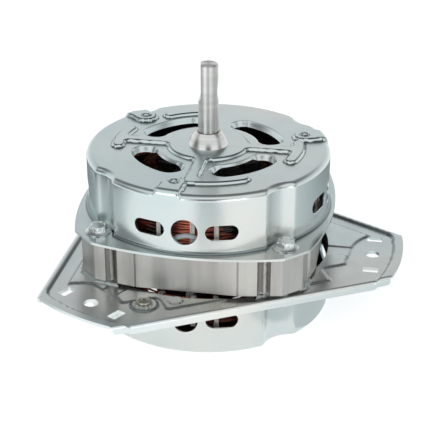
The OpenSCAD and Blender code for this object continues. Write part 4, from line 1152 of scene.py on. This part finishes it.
WOUND = (
    ("main_coils", wound_coils(*MAIN), COPPER, "copper", "main_winding"),
    ("auxiliary_coils", wound_coils(*AUX), COPPER_PAINTED_SHADE, "copper", "auxiliary_winding"),
    ("outer_end_turns", band_wires(*UPPER_BAND), COPPER, "copper"),
    ("lower_end_turns", band_wires(LOWER_BAND[0], LOWER_BAND[1] - 4), COPPER_PAINTED_SHADE, "copper"),
    ("lower_top_turns", band_wires(LOWER_BAND[1] - 2.5, LOWER_BAND[1] + 1), RED_COPPER, "copper"),
    ("lacing", tie_loops(*MAIN) + band_ties(*UPPER_BAND) + band_ties(*LOWER_BAND), LACING, "lacing", "winding_ties"),
    ("inner_lacing", tie_loops(*AUX), LACING_PAINTED_SHADE, "lacing"),
    ("winding_film", [band_film(UPPER_BAND[0] - 1, UPPER_BAND[1] + 0.4)], FILM, "lacing"),
    ("joint_sleeve", [lead_sleeve()], SLEEVE, "lacing"),
    ("weld_beads", [spun(weld_bead(x, -53.6), a) for a in SIDES for x in (-36.6, 36.6)], WELD_STEEL, "lamination"))
for name, parts, finish, slot, *nodes in WOUND:
    piece(name, parts, finish, "frame", slot, nodes, crease=80)

KEPT = {"stator_core": STACK_STEEL, "slot_liners": LINER, "slot_wedges": WEDGE, "thermal_protector": PROTECTOR,
        "rotor_core": ROTOR_STEEL_PAINTED_SHADE, "rotor_cage": CAGE_PAINTED_SHADE, "upper_bush": BUSH, "lower_bush": BUSH, "upper_felt": FELT,
        "lower_felt": FELT, "upper_retainer": PRESSING, "lower_retainer": PRESSING, "thrust_washers": FIBRE,
        "oil_slingers": PRESSING, "lead_grommet": RUBBER}
for name, finish in KEPT.items():
    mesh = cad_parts[name].data
    mesh.materials.clear()
    mesh.materials.append(finish)

# Stage, light and camera
PHOTO_TURN, PHOTO_RISE, PHOTO_FAR = math.radians(10.55), math.radians(25.96), 601.9
AIM_ACROSS, AIM_UP = 2.247, 15.5
LENS, SENSOR = 100.48, 36.0


def flat_sheet(name, place, size, z, finish):
    """Level sheet of the stage: its middle and its size along x and y in metres, and its height in millimetres."""
    (cx, cy), x, y = place, size[0] / 2, size[1] / 2
    mesh = bpy.data.meshes.new(name)
    mesh.from_pydata([(cx + a * x, cy + b * y, z * MM) for a, b in ((-1, -1), (1, -1), (1, 1), (-1, 1))], [],
                     [(0, 1, 2, 3)])
    mesh.materials.append(finish)
    obj = shown(name, mesh)
    return obj


def floor_sheet():
    """Pale floor that glows a little, more where the camera or a reflection sees it."""
    m, tree, shader, place = material("pale_floor", Roughness=0.9, Specular_IOR_Level=0.0, Emission_Color=(1, 1, 1, 1))
    pale = ramp(tree, noise(tree, place, 3), [(0.0, (0.78, 0.78, 0.78)), (1.0, (0.82, 0.82, 0.82))])
    tree.links.new(pale, shader.inputs["Base Color"])
    ray = node(tree, "LightPath").outputs
    seen = ray["Is Camera Ray"]
    for kind in ("Is Glossy Ray", "Is Transmission Ray"):
        seen = node(tree, "Math", links={0: seen, 1: ray[kind]}, operation="MAXIMUM").outputs["Value"]
    tree.links.new(spread(tree, seen, 0.1, 0.62, 0.0, 1.0), shader.inputs["Emission Strength"])
    flat_sheet("floor", (0.0, 0.0), (12.0, 12.0), FOOT - 0.02, m)


def card(name, place, size, near_tone, far_tone):
    """Tinted, glowing card flat on the floor that only the metal's reflections see: a painted reflection whose glow
    runs evenly from its near to its far edge.
    """
    m, tree, shader, coords = material(name + "_card", Base_Color=(0.02, 0.02, 0.02, 1), Roughness=1.0,
                                       Specular_IOR_Level=0.0, Emission_Color=(0.9, 0.98, 1.0, 1))
    along = node(tree, "SeparateXYZ", links={"Vector": coords}).outputs["Y"]
    near, far = place[1] - size[1] / 2, place[1] + size[1] / 2
    tree.links.new(spread(tree, along, near_tone, far_tone, near, far), shader.inputs["Emission Strength"])
    obj = flat_sheet(name, place, size, FOOT + 1.1, m)
    obj.visible_camera = obj.visible_shadow = obj.visible_diffuse = False


def aim(obj, place, way):
    """Puts a lamp or the camera at its place, turned to look along its way."""
    obj.location = place
    obj.rotation_mode = "QUATERNION"
    obj.rotation_quaternion = Vector(way).to_track_quat("-Z", "Y")


def area_light(name, place, size, watts):
    """Soft lamp aimed at the motor's middle."""
    data = bpy.data.lights.new(name, "AREA")
    data.shape = "RECTANGLE"
    data.size, data.size_y = size
    data.energy = watts
    obj = shown(name, data)
    aim(obj, place, Vector((0, 0, 0.01)) - Vector(place))


def studio():
    """Pale room: bright behind and overhead, with a dark front above the horizon that draws the metal's edges."""
    world = bpy.data.worlds.new("studio")
    bpy.context.scene.world = world
    world.use_nodes = True
    tree = world.node_tree
    back = tree.nodes["Background"]
    towards = node(tree, "TexCoord").outputs["Generated"]
    split = node(tree, "SeparateXYZ", links={"Vector": towards}).outputs

    def greys(value, *pairs):
        return ramp(tree, value, [(at, (v * 0.985, v, v)) for at, v in pairs])

    def blend(share, a, b):
        return node(tree, "Mix", links={"Factor": share, "A": a, "B": b}, data_type="RGBA").outputs["Result"]

    behind = greys(split["Z"], (0.0, 0.96), (0.14, 0.95), (0.34, 0.84), (0.5, 0.72), (0.62, 0.3), (0.75, 0.18),
                   (0.96, 0.18))
    ahead = greys(split["Z"], (0.0, 0.95), (0.04, 0.7), (0.08, 0.35), (0.36, 0.35), (0.47, 0.5), (0.62, 0.95),
                  (0.93, 0.95), (0.99, 0.3))
    right = (math.cos(PHOTO_TURN), math.sin(PHOTO_TURN), 0.0)
    across = node(tree, "VectorMath", {1: right}, {0: towards}, operation="DOT_PRODUCT").outputs["Value"]
    off_middle = node(tree, "Math", links={0: across}, operation="ABSOLUTE").outputs["Value"]
    sides = greys(off_middle, (0.0, 0.1), (0.14, 0.12), (0.3, 0.95), (0.72, 0.95), (0.86, 0.2))
    level = greys(split["Z"], (0.2, 0.0), (0.3, 1.0), (0.52, 1.0), (0.66, 0.0))
    room = blend(spread(tree, split["Y"], 0, 1, 0.12, -0.18), behind, blend(level, ahead, sides))
    tree.links.new(room, back.inputs["Color"])
    back.inputs["Strength"].default_value = 1.0
    area_light("key", (-0.45, -0.95, 0.22), (0.5, 0.25), 1.4)
    area_light("fill", (0.55, -0.85, 0.16), (0.4, 0.2), 0.7)
    card("left", (-0.135, 0.05), (0.11, 0.28), 0.7, 0.1)
    card("front", (0.042, -0.235), (0.075, 0.14), 0.66, 0.72)
    card("right", (0.165, 0.055), (0.22, 0.28), 0.9, 0.22)
    card("left_far", (-0.27, 0.0), (0.14, 0.3), 0.2, 0.2)
    card("right_far", (0.36, 0.0), (0.12, 0.3), 0.3, 0.3)


def look_from_photo():
    """Camera at the photograph's turn, height and distance, aimed beside the axis."""
    c, s = math.cos(PHOTO_TURN), math.sin(PHOTO_TURN)
    middle = np.array([AIM_ACROSS * c, AIM_ACROSS * s, AIM_UP])
    back = np.array([s * math.cos(PHOTO_RISE), -c * math.cos(PHOTO_RISE), math.sin(PHOTO_RISE)])
    data = bpy.data.cameras.new("photo_camera")
    data.lens, data.sensor_width = LENS, SENSOR
    data.clip_start, data.clip_end = 0.05, 30
    cam = shown("photo_camera", data)
    aim(cam, (middle + PHOTO_FAR * back) * MM, -back)
    bpy.context.scene.camera = cam


floor_sheet()
studio()
look_from_photo()
bpy.context.scene.view_settings.view_transform = "Standard"
